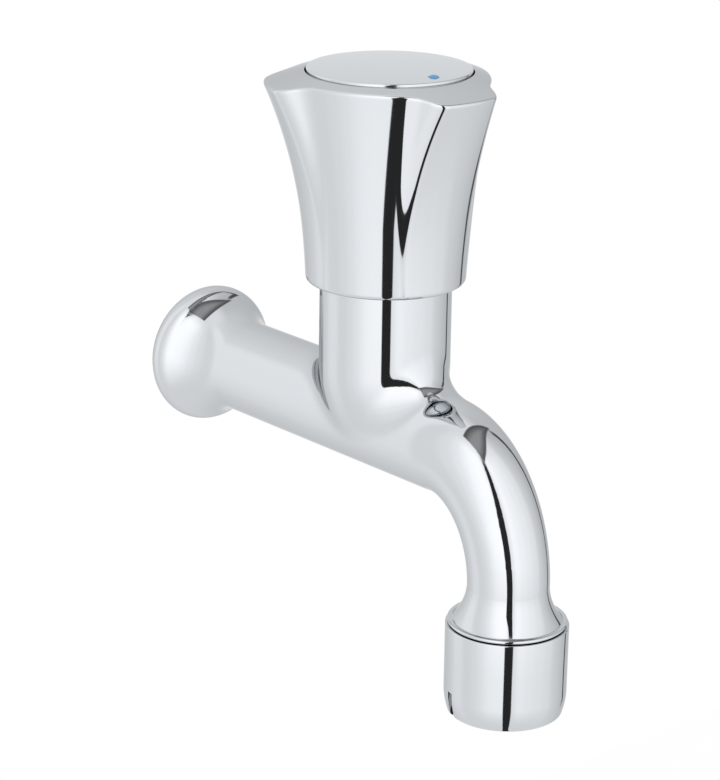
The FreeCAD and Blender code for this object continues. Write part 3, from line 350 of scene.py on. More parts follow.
class BodyField:
    """Distance from the outer skin of the cast body: tube, flange, bend, foot and neck with its blend."""

    def __init__(self, sizes):
        self.tube = sizes.tube_radius / MM
        self.bead = sizes.bead_radius / MM
        self.ring = sizes.bead_ring / MM
        self.flare_end = sizes.flare_end / MM
        turn = sizes.bead_turn
        self.meet = (self.bead * (1 - math.cos(turn)), self.ring + self.bead * math.sin(turn))
        run = self.flare_end - self.meet[0]
        rise = self.meet[1] - self.tube
        self.flare = (run ** 2 + rise ** 2) / (2 * rise)
        self.neck = sizes.neck_radius / MM
        self.bowl_top = sizes.bowl_top / MM
        foot = sizes.bowl_cover / MM - self.tube
        reach = self.neck - sizes.bowl_tip / MM
        self.bowl = (reach ** 2 + (self.bowl_top - foot) ** 2) / (2 * reach)
        self.blend = sizes.blend_radius / MM
        self.start = sizes.bend_start / MM
        self.drop = sizes.bend_drop / MM
        self.reach = SPOUT_AXIS - self.start
        self.middle = sizes.spout_middle / MM
        self.end = sizes.spout_end / MM
        self.flare_level = sizes.flare_level / MM
        self.flare_foot = sizes.flare_foot / MM
        self.hollow = sizes.flare_arc / MM
        self.lip = sizes.lip_radius / MM
        self.mouth = sizes.flare_mouth / MM
        self.lip_level = BODY_LOW.z / MM + SPOUT_THREAD_LENGTH + LIP_THICKNESS
        chord = np.array([self.mouth - self.flare_foot, self.lip_level - self.flare_level])
        middle = np.array([self.flare_foot, self.flare_level]) + chord / 2
        left = np.array([-chord[1], chord[0]]) / np.linalg.norm(chord)
        rise = math.sqrt(self.hollow ** 2 - float(chord @ chord) / 4)
        self.hollow_centre = middle + left * rise

    def flanged_tube(self, p):
        """Tube with the flare and the rolled bead of its flange."""
        s = -p[:, 1]
        rho = np.hypot(p[:, 0], p[:, 2])
        plain = rho - self.tube
        flare = self.flare - np.hypot(s - self.flare_end, rho - self.tube - self.flare)
        bead = np.hypot(s - self.bead, rho - self.ring) - self.bead
        ds = self.flare_end - self.bead
        dr = self.tube + self.flare - self.ring
        past = ds * (rho - self.ring) - dr * (s - self.bead)
        out = np.where(s > self.flare_end, plain, flare)
        return np.where((past > 0) & (s < self.flare_end), bead, out)

    def bend(self, p):
        """Tapering spout round its elliptical bend."""
        y = p[:, 1]
        z = p[:, 2]
        turn = np.arctan2(-(y + self.start) / self.reach, (z + self.drop) / self.drop)
        turn = np.clip(turn, 0, math.pi / 2)
        for _ in range(BEND_TURNS):
            sine, cosine = np.sin(turn), np.cos(turn)
            dy = y + self.start + self.reach * sine
            dz = z + self.drop - self.drop * cosine
            ty, tz = -self.reach * cosine, -self.drop * sine
            value = dy * ty + dz * tz
            speed = ty * ty + tz * tz
            slope = np.minimum(dy * self.reach * sine - dz * self.drop * cosine - speed, -0.25 * speed)
            turn = np.clip(turn - value / slope, 0, math.pi / 2)
        sine, cosine = np.sin(turn), np.cos(turn)
        cy = -self.start - self.reach * sine
        cz = -self.drop + self.drop * cosine
        share = turn / (math.pi / 2)
        share = (1 + TAPER_START) * share ** 2 / (share + TAPER_START)
        radius = self.tube * (1 - share) ** 2 + 2 * self.middle * share * (1 - share) + self.end * share ** 2
        return np.sqrt(p[:, 0] ** 2 + (y - cy) ** 2 + (z - cz) ** 2) - radius

    def foot(self, p):
        """Upright end of the spout with its hollow flare and its lip."""
        rho = np.hypot(p[:, 0], p[:, 1] + SPOUT_AXIS)
        z = p[:, 2]
        share = np.clip((-self.drop - z) / (-self.drop - self.flare_level), 0, 1)
        plain = rho - (self.end + (self.flare_foot - self.end) * share)
        centre = self.hollow_centre
        hollow = self.hollow - np.hypot(rho - centre[0], z - centre[1])
        lip = rho - self.mouth
        out = np.where(z < self.flare_level, np.where(rho < centre[0], hollow, lip), plain)
        return np.where(z < self.lip_level, lip, out)

    def spout(self, p):
        """Bend and foot."""
        return np.where(p[:, 2] > -self.drop, self.bend(p), self.foot(p))

    def pipe(self, p):
        """Tube, flange and spout."""
        before = p[:, 1] > -self.start
        out = np.where(before, self.flanged_tube(p), self.spout(p))
        low = p[:, 2] < -self.tube - BEND_REACH
        return np.where(before & low, np.minimum(out, self.spout(p)), out)

    def neck_and_bowl(self, p):
        """Upright neck that closes like a bowl."""
        rho = np.hypot(p[:, 0], p[:, 1] + HANDLE_AXIS)
        bowl = np.hypot(rho - self.neck + self.bowl, p[:, 2] - self.bowl_top) - self.bowl
        return np.where(p[:, 2] > self.bowl_top, rho - self.neck, bowl)

    @staticmethod
    def slope(field, p):
        """Direction and rate in which a field grows."""
        out = np.empty_like(p)
        for axis in range(3):
            shift = np.zeros(3)
            shift[axis] = SLOPE_STEP
            out[:, axis] = (field(p + shift) - field(p - shift)) / (2 * SLOPE_STEP)
        return out

    def rough(self, p):
        """Union with a simple round blend, quick enough for the whole block."""
        a = self.pipe(p)
        b = self.neck_and_bowl(p)
        u = np.maximum(self.blend - a, 0)
        v = np.maximum(self.blend - b, 0)
        return np.maximum(self.blend, np.minimum(a, b)) - np.hypot(u, v)

    def exact(self, p):
        """Union whose blend is the path of a ball that rolls along both skins."""
        a = self.pipe(p)
        b = self.neck_and_bowl(p)
        out = np.minimum(a, b)
        under = (p[:, 2] < BOWL_FOOT_LEVEL) & (np.hypot(p[:, 0], p[:, 1] + HANDLE_AXIS) < BOWL_FOOT_RADIUS)
        close = (a < self.blend) & (b < self.blend) & (a > BLEND_DEPTHS[0]) & (b > BLEND_DEPTHS[1])
        near = np.nonzero(close & ~under)[0]
        if len(near):
            q = p[near]
            first = self.slope(self.pipe, q)
            second = self.slope(self.neck_and_bowl, q)
            c = np.clip((first * second).sum(1), -STEEPEST, STEEPEST)
            u = self.blend - a[near]
            v = self.blend - b[near]
            rolled = self.blend - np.sqrt(np.maximum((u * u + v * v - 2 * u * v * c) / (1 - c * c), 0))
            inside = (v > c * u) & (u > c * v)
            out[near] = np.where(inside, rolled, out[near])
        return out


def skin_faces(field, low, high, pitch):
    """Quad mesh of a field's zero level over a block, one point for each crossed cell."""
    axes = [np.arange(low[i], high[i] + pitch, pitch) for i in range(3)]
    shape = tuple(len(axis) for axis in axes)
    grid = np.stack(np.meshgrid(*axes, indexing="ij"), -1).reshape(-1, 3)
    values = np.concatenate([field(part) for part in np.array_split(grid, FIELD_PARTS)]).reshape(shape)
    solid = values < 0
    corners = np.zeros(tuple(n - 1 for n in shape), int)
    for dx in (0, 1):
        for dy in (0, 1):
            for dz in (0, 1):
                corners += solid[dx:shape[0] - 1 + dx, dy:shape[1] - 1 + dy, dz:shape[2] - 1 + dz]
    crossed = (corners > 0) & (corners < 8)
    index = np.full(crossed.shape, -1)
    index[crossed] = np.arange(crossed.sum())
    cells = np.argwhere(crossed)
    points = np.array(low) + (cells + 0.5) * pitch
    faces = []
    for axis in range(3):
        before = [slice(None)] * 3
        after = [slice(None)] * 3
        before[axis] = slice(0, shape[axis] - 1)
        after[axis] = slice(1, shape[axis])
        one, two = solid[tuple(before)], solid[tuple(after)]
        other = [i for i in range(3) if i != axis]
        for enters in (False, True):
            hits = np.argwhere((one != two) & (one == enters))
            keep = (hits[:, other[0]] > 0) & (hits[:, other[1]] > 0)
            keep &= (hits[:, other[0]] < shape[other[0]] - 1) & (hits[:, other[1]] < shape[other[1]] - 1)
            hits = hits[keep]
            quads = []
            for du, dv in ((1, 1), (0, 1), (0, 0), (1, 0)):
                cell = hits.copy()
                cell[:, other[0]] -= du
                cell[:, other[1]] -= dv
                quads.append(index[tuple(cell.T)])
            quads = np.stack(quads, 1)
            flip = enters == (axis != 1)
            faces.append(quads if flip else quads[:, ::-1])
    return points, np.concatenate(faces)


def settle(field, points, times):
    """Moves points onto the zero level of a field."""
    for _ in range(times):
        distance = field(points)
        direction = BodyField.slope(field, points)
        size = np.maximum((direction ** 2).sum(1), SMALLEST_SLOPE)
        step = np.clip(distance / size, -LONGEST_STEP, LONGEST_STEP)
        points = points - direction * step[:, None]
    return points


def relax(points, faces):
    """Moves each point towards the middle of its neighbours."""
    total = np.zeros_like(points)
    count = np.zeros(len(points))
    for one, two in ((0, 1), (1, 2), (2, 3), (3, 0)):
        for a, b in ((faces[:, one], faces[:, two]), (faces[:, two], faces[:, one])):
            np.add.at(total, a, points[b])
            np.add.at(count, a, 1)
    known = count > 0
    middle = points.copy()
    middle[known] = total[known] / count[known][:, None]
    return points + (middle - points) * RELAX_SHARE


def split_quads(points, faces):
    """Each quad in four, with new points in the middle of its sides and of itself."""
    edges = np.concatenate([faces[:, [i, (i + 1) % 4]] for i in range(4)])
    edges.sort(axis=1)
    unique, inverse = np.unique(edges, axis=0, return_inverse=True)
    inverse = inverse.reshape(-1)
    count = len(faces)
    side = [inverse[i * count:(i + 1) * count] + len(points) for i in range(4)]
    centre = np.arange(count) + len(points) + len(unique)
    more = np.concatenate([points, points[unique].mean(1), points[faces].mean(1)])
    quads = []
    for i in range(4):
        quads.append(np.stack([faces[:, i], side[i], centre, side[i - 1]], 1))
    return more, np.concatenate(quads)


CLEAN_CUT = 1e-9  # metres within which a cut keeps the points it finds
ON_PLANE = 1e-7  # metres within which a point lies on a cutting plane
SAME_POINT = 1e-7  # metres within which two points are one
RIM_SPACING = 0.2 * MM  # smallest distance between two points of a cut rim


def trimmed(work, origin, normal):
    """Cuts an open skin by a plane, drops what lies beyond, evens the new rim and returns its edges."""
    geometry = work.verts[:] + work.edges[:] + work.faces[:]
    place, away = Vector(origin) * MM, Vector(normal)
    bmesh.ops.bisect_plane(
        work, geom=geometry, dist=CLEAN_CUT, plane_co=place, plane_no=away, clear_outer=True
    )
    rim = [vert for vert in work.verts if abs((vert.co - place).dot(away)) < ON_PLANE and vert.is_boundary]
    bmesh.ops.remove_doubles(work, verts=rim, dist=RIM_SPACING)
    return [
        edge for edge in work.edges
        if edge.is_boundary and all(abs((vert.co - place).dot(away)) < ON_PLANE for vert in edge.verts)
    ]


def carry_on(work, rim, axis_point, along, profile):
    """Extends a round rim along a profile of (radius, level) pairs; the last has radius 0 and closes it."""
    centre = Vector(axis_point) * MM
    edges = rim
    for radius, level in profile[:-1]:
        grown = bmesh.ops.extrude_edge_only(work, edges=edges)["geom"]
        edges = [item for item in grown if isinstance(item, bmesh.types.BMEdge) and item.is_boundary]
        verts = {vert for edge in edges for vert in edge.verts}
        for vert in verts:
            flat = vert.co - centre
            flat[along] = 0.0
            flat.normalize()
            vert.co = centre + flat * (radius * MM)
            vert.co[along] = level * MM
    pole = centre.copy()
    pole[along] = profile[-1][1] * MM
    tip = work.verts.new(pole)
    for edge in edges:
        work.faces.new((edge.verts[0], edge.verts[1], tip))


def arc_points(centre, radius, start, finish, steps):
    """Points (radius, level) on an arc; start and finish are angles in degrees."""
    out = []
    for step in range(1, steps + 1):
        angle = math.radians(start + (finish - start) * step / steps)
        out.append((centre[0] + radius * math.cos(angle), centre[1] + radius * math.sin(angle)))
    return out


# the body behind its skin: radii, levels and depths in millimetres
Y_AXIS, Z_AXIS = 1, 2
BACK_CUT = 1.0  # distance from the wall at which the flange's bead is closed
NECK_CUT = 1.0  # distance under the neck's top at which its edge starts
FLARE_CUT = 3.0  # distance under the flare's start at which the lip starts
MOUTH_EDGE = 0.35  # roundings of the neck's outer and inner edge
MOUTH_INNER_EDGE = 0.3
NECK_THREAD_RADIUS = 10.5
NECK_THREAD_FOOT = 25.0
CHAMBER_RADIUS = 9.6
CHAMBER_TOP = 24.0
CHAMBER_FOOT = 4.8
SEAT_OUTER_RADIUS = 6.95
SEAT_LEVEL = 6.0
WATERWAY_RADIUS = 5.75
WATERWAY_FOOT = -5.0
BEAD_STEPS = 6
SEAL_RECESS_MOUTH = 11.3
SEAL_RECESS_RADIUS = 11.2
SEAL_RECESS_CHAMFER = 0.1
SEAL_RECESS_DEPTH = 1.6
SOCKET_RADIUS = 8.4
SOCKET_DEPTH = 12.0
LIP_ROUND = 0.42
LIP_ROUND_RISE = 0.58
LIP_SHOULDER = (0.12, 0.43)  # last point of the flare before the lip's rounding, from its centre
LIP_GAP = 0.16  # gap between the lip and the aerator's shell
LIP_GAP_RADIUS = 12.0
SPOUT_THREAD_RADIUS = 11.0
FUNNEL_RADIUS = 8.6
FUNNEL_HEIGHT = 4.0
OUTLET_RADIUS = 6.0
OUTLET_DEPTH = 6.0


def make_body(sizes):
    """Outer skin of the body, closed by its flange's back, its neck's mouth and its spout's thread."""
    field = BodyField(sizes)
    points, faces = skin_faces(field.rough, SKIN_LOW, SKIN_HIGH, SKIN_PITCH)
    points = settle(field.exact, points, times=4)
    for _ in range(RELAX_TURNS):
        points = settle(field.exact, relax(points, faces), times=2)
    points, faces = split_quads(points, faces)
    points = settle(field.exact, points, times=3)
    points = settle(field.exact, relax(points, faces), times=3)
    piece = mesh_object("body_skin", points, [tuple(map(int, quad)) for quad in faces])
    work = bmesh.new()
    work.from_mesh(piece.data)
    top = BODY_HIGH.z / MM - NECK_CUT
    foot = field.flare_level - FLARE_CUT
    rim = trimmed(work, (0, -BACK_CUT, 0), (0, 1, 0))
    carry_on(work, rim, (0, 0, 0), Y_AXIS, wall_profile(field, BACK_CUT))
    rim = trimmed(work, (0, 0, top), (0, 0, 1))
    carry_on(work, rim, (0, -HANDLE_AXIS, 0), Z_AXIS, mouth_profile(field.neck, top))
    rim = trimmed(work, (0, 0, foot), (0, 0, -1))
    carry_on(work, rim, (0, -SPOUT_AXIS, 0), Z_AXIS, spout_profile(field, foot))
    bmesh.ops.remove_doubles(work, verts=work.verts, dist=SAME_POINT)
    bmesh.ops.recalc_face_normals(work, faces=work.faces)
    work.to_mesh(piece.data)
    work.free()
    crease(piece, degrees=30.0)
    true_normals(piece, field, top - SKIN_ENDS[2])
    return piece


NEAR_SKIN = 0.02  # distance within which a point lies on the free-form skin
SKIN_ENDS = (0.01, 0.3, 0.6)  # where the skin ends: before the wall, over the lip, under the neck's rim
EVENED_BEYOND = -30.0  # the normals are evened farther from the wall than this, and above the next level
EVENED_ABOVE = -20.0
EVENING_TURNS = 8


def true_normals(piece, field, top):
    """Shades the free-form skin under a level by the field's slope, and leaves the closing faces alone."""
    mesh = piece.data
    points = np.empty(len(mesh.vertices) * 3)
    mesh.vertices.foreach_get("co", points)
    points = points.reshape(-1, 3) / MM
    free = (points[:, 1] < SKIN_ENDS[0]) & (points[:, 2] > field.lip_level + SKIN_ENDS[1])
    free &= points[:, 2] < top
    near = np.zeros(len(points), bool)
    near[free] = np.abs(field.exact(points[free])) < NEAR_SKIN
    slope = np.zeros_like(points)
    slope[near] = BodyField.slope(field.exact, points[near])
    size = np.linalg.norm(slope, axis=1)
    slope[size > 0] /= size[size > 0][:, None]
    near &= (points[:, 1] < EVENED_BEYOND) & (points[:, 2] > EVENED_ABOVE)
    even_normals(mesh, slope, near)
    mesh.normals_split_custom_set_from_vertices([tuple(map(float, row)) for row in slope])


def even_normals(mesh, slope, chosen):
    """Turns the chosen points' normals towards those of their neighbours."""
    pairs = np.empty(len(mesh.edges) * 2, int)
    mesh.edges.foreach_get("vertices", pairs)
    pairs = pairs.reshape(-1, 2)
    pairs = pairs[chosen[pairs[:, 0]] & chosen[pairs[:, 1]]]
    for _ in range(EVENING_TURNS):
        around = slope.copy()
        for axis in range(3):
            around[:, axis] += np.bincount(pairs[:, 0], slope[pairs[:, 1], axis], len(slope))
            around[:, axis] += np.bincount(pairs[:, 1], slope[pairs[:, 0], axis], len(slope))
        slope[chosen] = around[chosen] / np.linalg.norm(around[chosen], axis=1)[:, None]


def mouth_profile(neck, top):
    """(radius, level) along the neck's edge, its thread, the chamber, the valve's seat and the waterway."""
    edge = top + NECK_CUT
    corners = [
        (neck, top, 0), (neck, edge, MOUTH_EDGE), (NECK_THREAD_RADIUS, edge, MOUTH_INNER_EDGE),
        (NECK_THREAD_RADIUS, NECK_THREAD_FOOT, 0), (CHAMBER_RADIUS, CHAMBER_TOP, 0),
        (CHAMBER_RADIUS, CHAMBER_FOOT, 0), (SEAT_OUTER_RADIUS, CHAMBER_FOOT, 0),
        (SEAT_OUTER_RADIUS, SEAT_LEVEL, 0), (WATERWAY_RADIUS, SEAT_LEVEL, 0),
        (WATERWAY_RADIUS, WATERWAY_FOOT, 0), (0, WATERWAY_FOOT, 0),
    ]
    return rounded_profile(corners, steps=3)[1:]


def wall_profile(field, start):
    """(radius, place along Y) along the bead's last part, the back face, the recess and the socket."""
    begin = math.asin((field.bead - start) / field.bead)
    points = []
    for step in range(1, BEAD_STEPS + 1):
        angle = begin + (math.pi / 2 - begin) * step / BEAD_STEPS
        points.append((field.ring + field.bead * math.cos(angle), field.bead - field.bead * math.sin(angle)))
    points += [
        (SEAL_RECESS_MOUTH, 0.0), (SEAL_RECESS_RADIUS, SEAL_RECESS_CHAMFER),
        (SEAL_RECESS_RADIUS, SEAL_RECESS_DEPTH), (SOCKET_RADIUS, SEAL_RECESS_DEPTH),
        (SOCKET_RADIUS, SOCKET_DEPTH), (0.0, SOCKET_DEPTH),
    ]
    return [(radius, -away) for radius, away in points]


def spout_profile(field, start):
    """(radius, level) along the flare's last part, the lip, the thread and the outlet."""
    centre = field.hollow_centre
    begin = math.degrees(math.asin((start - centre[1]) / field.hollow))
    finish = math.degrees(math.atan2(field.lip_level - centre[1], field.mouth - centre[0]))
    begin = 180.0 - begin if begin > 0 else -180.0 - begin
    if abs(finish - begin) > 180.0:
        finish -= math.copysign(360.0, finish - begin)
    points = arc_points(centre, field.hollow, begin, finish, steps=10)
    lip = field.lip_level - LIP_THICKNESS
    end = lip - SPOUT_THREAD_LENGTH
    bead = (field.lip - LIP_ROUND, lip + LIP_ROUND_RISE)
    points += [(bead[0] - LIP_SHOULDER[0], bead[1] + LIP_SHOULDER[1])]
    points += arc_points(bead, LIP_ROUND, 80.0, -90.0, steps=12)
    points += [(LIP_GAP_RADIUS, lip + LIP_GAP), (LIP_GAP_RADIUS, lip)]
    points += [(SPOUT_THREAD_RADIUS, lip), (SPOUT_THREAD_RADIUS, end)]
    points += [(FUNNEL_RADIUS, end), (OUTLET_RADIUS, lip - FUNNEL_HEIGHT)]
    points += [(OUTLET_RADIUS, lip + OUTLET_DEPTH), (0.0, lip + OUTLET_DEPTH)]
    return points


# the handle as a star-shaped skin about its axis, in millimetres

LOBE_WIDTH_AT = 10.0  # distance from the axis at which a lobe's width is given
LOBE_TOP = 84.0  # level at which it is given, and the height over which the lobe leans
LOBE_HEIGHT = 54.0
SOFTNESS_AT_FOOT = 0.3  # share of the top's softness
HOLLOW_LESS = 0.08
PAST_RIM = 1.2  # share of the height up to which the forms carry on
BULGE_POWER = 1.3
RIM_TURNS = 12  # rounds in which the rim's level is found

HANDLE_COLUMNS = 720
SIDE_ROWS = 84
SHOULDER_ROWS = 8
EDGE_ROWS = 8
TOP_ROWS = 8
CAP_CLEARANCE = 0.15
HANDLE_FOOT_INSET = 0.3  # how far the foot's flat ring lies inside its radius
RIM_EDGE_OUT = 0.08  # how far the rim's edge is steered out
POCKET_RADIUS = 4.2
SCREW_HOLE_RADIUS = 2.3
INSERT_RADIUS = 7.55
BOSS_RADIUS = 9.5
CAVITY_TOP_RADIUS = 13.8
CAVITY_RADIUS = 15.8
HANDLE_FOOT_BORE = 16.1
HANDLE_FOOT_CHAMFER = 0.3
CAP_RING_RADIUS = 16.5
BOSS_RISE = 26.1  # heights over the handle's foot
CAVITY_SHOULDER = 34.1
CAVITY_TOP = 36.1
POCKET_FLOOR = 38.1
WEB_TOP = 40.1
CAP_SEAT = 44.5
CAP_EDGE = ((0.25, 0.06), (0.08, 0.08), (0.0, 0.22))  # rounding into the recess: distance out of it, depth


class HandleForm:
    """Radius of the handle at an angle and a level; lobes stand at 0, 120 and 240 degrees."""

    def __init__(self, sizes):
        self.foot = HANDLE_LOW.z / MM
        self.shoulder = self.foot + sizes.shoulder / MM
        self.valley = (sizes.valley_foot / MM, sizes.valley_top / MM, sizes.valley_level / MM)
        self.waist = (sizes.valley_waist / MM, sizes.waist_level / MM)
        self.bulge = sizes.valley_bulge
        self.edge = sizes.lobe_edge / MM
        self.hollow = sizes.lobe_hollow / MM
        self.lobe = (sizes.lobe_foot / MM, sizes.lobe_tip / MM, sizes.lobe_level / MM)
        self.arc = sizes.lobe_arc / MM
        self.half = sizes.lobe_half / MM
        self.taper = sizes.lobe_taper
        self.lean = sizes.lobe_lean / MM
        start = np.array([self.lobe[0], self.shoulder])
        end = np.array([self.lobe[1], self.lobe[2]])
        chord = end - start
        right = np.array([chord[1], -chord[0]]) / np.linalg.norm(chord)
        rise = math.sqrt(self.arc ** 2 - float(chord @ chord) / 4)
        self.centre = (start + end) / 2 + right * rise

    def trumpet(self, z):
        """Radius of the lobes' flared profile at a level."""
        return self.centre[0] - np.sqrt(self.arc ** 2 - (z - self.centre[1]) ** 2)

    def height_share(self, z):
        """0 at the foot's shoulder, 1 at the rim between the lobes."""
        return np.clip((z - self.shoulder) / (self.valley[2] - self.shoulder), 0, PAST_RIM)

    def cone(self, offset, z):
        """Radius between the lobes: a waisted cone whose sections are three flat arcs.

        The offset is the angle from a lobe's middle.
        """
        share = self.height_share(z)
        middle = (self.waist[1] - self.shoulder) / (self.valley[2] - self.shoulder)
        chord = self.valley[0] + (self.valley[1] - self.valley[0]) * middle
        bow = (chord - self.waist[0]) / (middle * (1 - middle))
        reach = self.valley[0] + (self.valley[1] - self.valley[0]) * share - bow * share * (1 - share)
        above = np.clip((z - self.waist[1]) / (self.valley[2] - self.waist[1]), 0, PAST_RIM)
        more = (self.bulge - 1) * above ** BULGE_POWER
        turn = math.pi / 3 - offset
        return reach * (np.sqrt((1 + more) ** 2 - (more * np.sin(turn)) ** 2) - more * np.cos(turn))

    def radius(self, angle, z):
        """Radius of the skin: lobes and cone, softly joined."""
        sector = 2 * math.pi / 3
        offset = np.abs((angle + sector / 2) % sector - sector / 2)
        width = self.half - self.lean * (LOBE_TOP - z) / LOBE_HEIGHT + LOBE_WIDTH_AT * self.taper
        flank = width / (np.sin(offset) + self.taper * np.cos(offset))
        soft = SOFTNESS_AT_FOOT + (1 - SOFTNESS_AT_FOOT) * self.height_share(z)
        lobe = soft_min(self.trumpet(z), flank, self.edge * soft)
        return soft_max(self.cone(offset, z), lobe, self.hollow * (soft - HOLLOW_LESS))

    def rim(self, angle):
        """Level and radius of the rim at an angle."""
        z = np.full_like(angle, self.valley[2])
        slope = (self.valley[2] - self.lobe[2]) / (self.lobe[1] - self.valley[1])
        for _ in range(RIM_TURNS):
            r = self.radius(angle, z)
            z = self.valley[2] - slope * (r - self.valley[1])
        return z, self.radius(angle, z)


def soft_max(a, b, size):
    """The greater of two values, rounded over where they are closer than a size."""
    share = np.clip(0.5 + 0.5 * (a - b) / size, 0, 1)
    return b + (a - b) * share + size * share * (1 - share)


def soft_min(a, b, size):
    """The smaller of two values, rounded in the same way."""
    return -soft_max(-a, -b, size)


def hidden_rings(foot):
    """(radius, level) pairs of the hollow under the handle, from the screw's pocket to the foot."""
    return [
        (POCKET_RADIUS, foot + POCKET_FLOOR), (SCREW_HOLE_RADIUS, foot + POCKET_FLOOR),
        (SCREW_HOLE_RADIUS, foot + CAVITY_TOP), (INSERT_RADIUS, foot + CAVITY_TOP),
        (INSERT_RADIUS, foot + BOSS_RISE), (BOSS_RADIUS, foot + BOSS_RISE), (BOSS_RADIUS, foot + CAVITY_TOP),
        (CAVITY_TOP_RADIUS, foot + CAVITY_TOP), (CAVITY_RADIUS, foot + CAVITY_SHOULDER),
        (CAVITY_RADIUS, foot + HANDLE_FOOT_CHAMFER), (HANDLE_FOOT_BORE, foot),
    ]


def recess_rings(seat, level, foot):
    """(radius, level) pairs of the cap's recess, from its rounded edge to the screw's pocket."""
    edge = [(seat + out, level - depth) for out, depth in CAP_EDGE[1:]]
    return edge + [
        (seat, foot + CAP_SEAT), (CAP_RING_RADIUS, foot + CAP_SEAT), (CAP_RING_RADIUS, foot + WEB_TOP),
        (POCKET_RADIUS, foot + WEB_TOP),
    ]


def make_handle(sizes):
    """Handle: lobed side, rounded rim, sloping top, recess for the cap, and the hollow underneath."""
    form = HandleForm(sizes)
    columns = HANDLE_COLUMNS
    angle = np.arange(columns) * 2 * math.pi / columns
    rim_level, rim_radius = form.rim(angle)
    seat = CAP_HIGH.x / MM + CAP_CLEARANCE
    inner_level = (HANDLE_HIGH.z + sizes.seat_rise) / MM
    foot = form.foot
    foot_radius = sizes.foot_radius / MM
    rings = []
    for radius, level in hidden_rings(foot):
        rings.append((np.full(columns, radius), np.full(columns, level)))
    first = form.radius(angle, np.full(columns, form.shoulder))
    for step in range(SHOULDER_ROWS + 1):
        turn = math.radians(90.0 * step / SHOULDER_ROWS)
        radius = foot_radius - HANDLE_FOOT_INSET + (first - foot_radius + HANDLE_FOOT_INSET) * math.sin(turn)
        level = foot + (form.shoulder - foot) * (1 - math.cos(turn))
        rings.append((radius, np.full(columns, level)))
    for row in range(1, SIDE_ROWS + 1):
        level = form.shoulder + (rim_level - form.shoulder) * row / SIDE_ROWS
        rings.append((form.radius(angle, level), level))
    top_radius = rim_radius - sizes.rim_round / MM
    top_level = rim_level + sizes.rim_drop / MM
    slope = (inner_level - top_level) / (top_radius - seat)
    corner_radius = rim_radius + RIM_EDGE_OUT
    corner_level = top_level - slope * (corner_radius - top_radius)
    for step in range(1, EDGE_ROWS + 1):
        share = step / EDGE_ROWS
        a, b, c = (1 - share) ** 2, 2 * share * (1 - share), share ** 2
        radius = a * rim_radius + b * corner_radius + c * top_radius
        level = a * rim_level + b * corner_level + c * top_level
        rings.append((radius, level))
    edge = seat + CAP_EDGE[0][0]
    for row in range(1, TOP_ROWS + 1):
        share = row / TOP_ROWS
        radius = top_radius + (edge - top_radius) * share
        level = top_level + (inner_level - CAP_EDGE[0][1] - top_level) * share
        rings.append((radius, level))
    for radius, level in recess_rings(seat, inner_level, foot):
        rings.append((np.full(columns, radius), np.full(columns, level)))
    points = []
    for radius, level in rings:
        points.extend(zip(radius * np.sin(angle), -HANDLE_AXIS - radius * np.cos(angle), level))
    piece = looped_mesh("handle_skin", points, columns)
    crease(piece, degrees=40.0)
    return piece


# cap, outlet and inlet


def cut_by(piece, cutters):
    """Cuts closed pieces out of a piece, then drops them."""
    for index, cutter in enumerate(cutters):
        tool = piece.modifiers.new("cut_%d" % index, "BOOLEAN")
        tool.operation = "DIFFERENCE"
        tool.solver = "EXACT"
        tool.object = cutter
    applied(piece)
    for cutter in cutters:
        bpy.data.objects.remove(cutter, do_unlink=True)
    return piece


def joined(name, pieces):
    """One mesh object from several, which are dropped."""
    work = bmesh.new()
    for piece in pieces:
        work.from_mesh(piece.data)
    mesh = bpy.data.meshes.new(name)
    work.to_mesh(mesh)
    work.free()
    for piece in pieces:
        bpy.data.objects.remove(piece, do_unlink=True)
    out = bpy.data.objects.new(name, mesh)
    bpy.context.scene.collection.objects.link(out)
    return out


CAP_SEAT_RISE = 2.9  # height of the cap's underside over its press ring's foot
CAP_RING = (15.0, 16.4)  # inner and outer radius of the press ring
CROWN_STEPS = 20
DOT_CLEARANCE = 0.02
DOT_SEGMENTS = 64
DOT_EDGE = 0.1  # height under the dot's top at which its dome starts
DOME_STEPS = 10


def make_cap(sizes, segments):
    """Cap with a slight crown, its press ring underneath and the pocket for the dot."""
    foot = CAP_LOW.z / MM
    seat = foot + CAP_SEAT_RISE
    radius = sizes.radius / MM
    edge = sizes.edge_level / MM
    size = sizes.edge_round / MM
    crown = sizes.crown / MM
    shoulder = edge + size
    inner, outer = CAP_RING
    profile = [(0.0, seat), (inner, seat), (inner, foot), (outer, foot), (outer, seat)]
    profile += [(radius, seat), (radius, edge)]
    profile += arc_points((radius - size, edge), size, 0.0, 88.0, steps=10)
    for step in range(1, CROWN_STEPS + 1):
        share = 1 - step / CROWN_STEPS
        profile.append(((radius - size) * share, crown - (crown - shoulder) * share ** 2))
    piece = turned_mesh("cap_skin", profile, (0, -HANDLE_AXIS), segments)
    middle = (DOT_LOW + DOT_HIGH) / 2 / MM
    reach = sizes.dot_radius / MM + DOT_CLEARANCE
    low, high = DOT_LOW.z / MM, crown + DOT_EDGE
    pocket = [(0, low), (reach, low), (reach, high), (0, high)]
    cut_by(piece, [turned_mesh("dot_tool", pocket, (middle.x, middle.y), DOT_SEGMENTS)])
    crease(piece, degrees=30.0)
    return piece


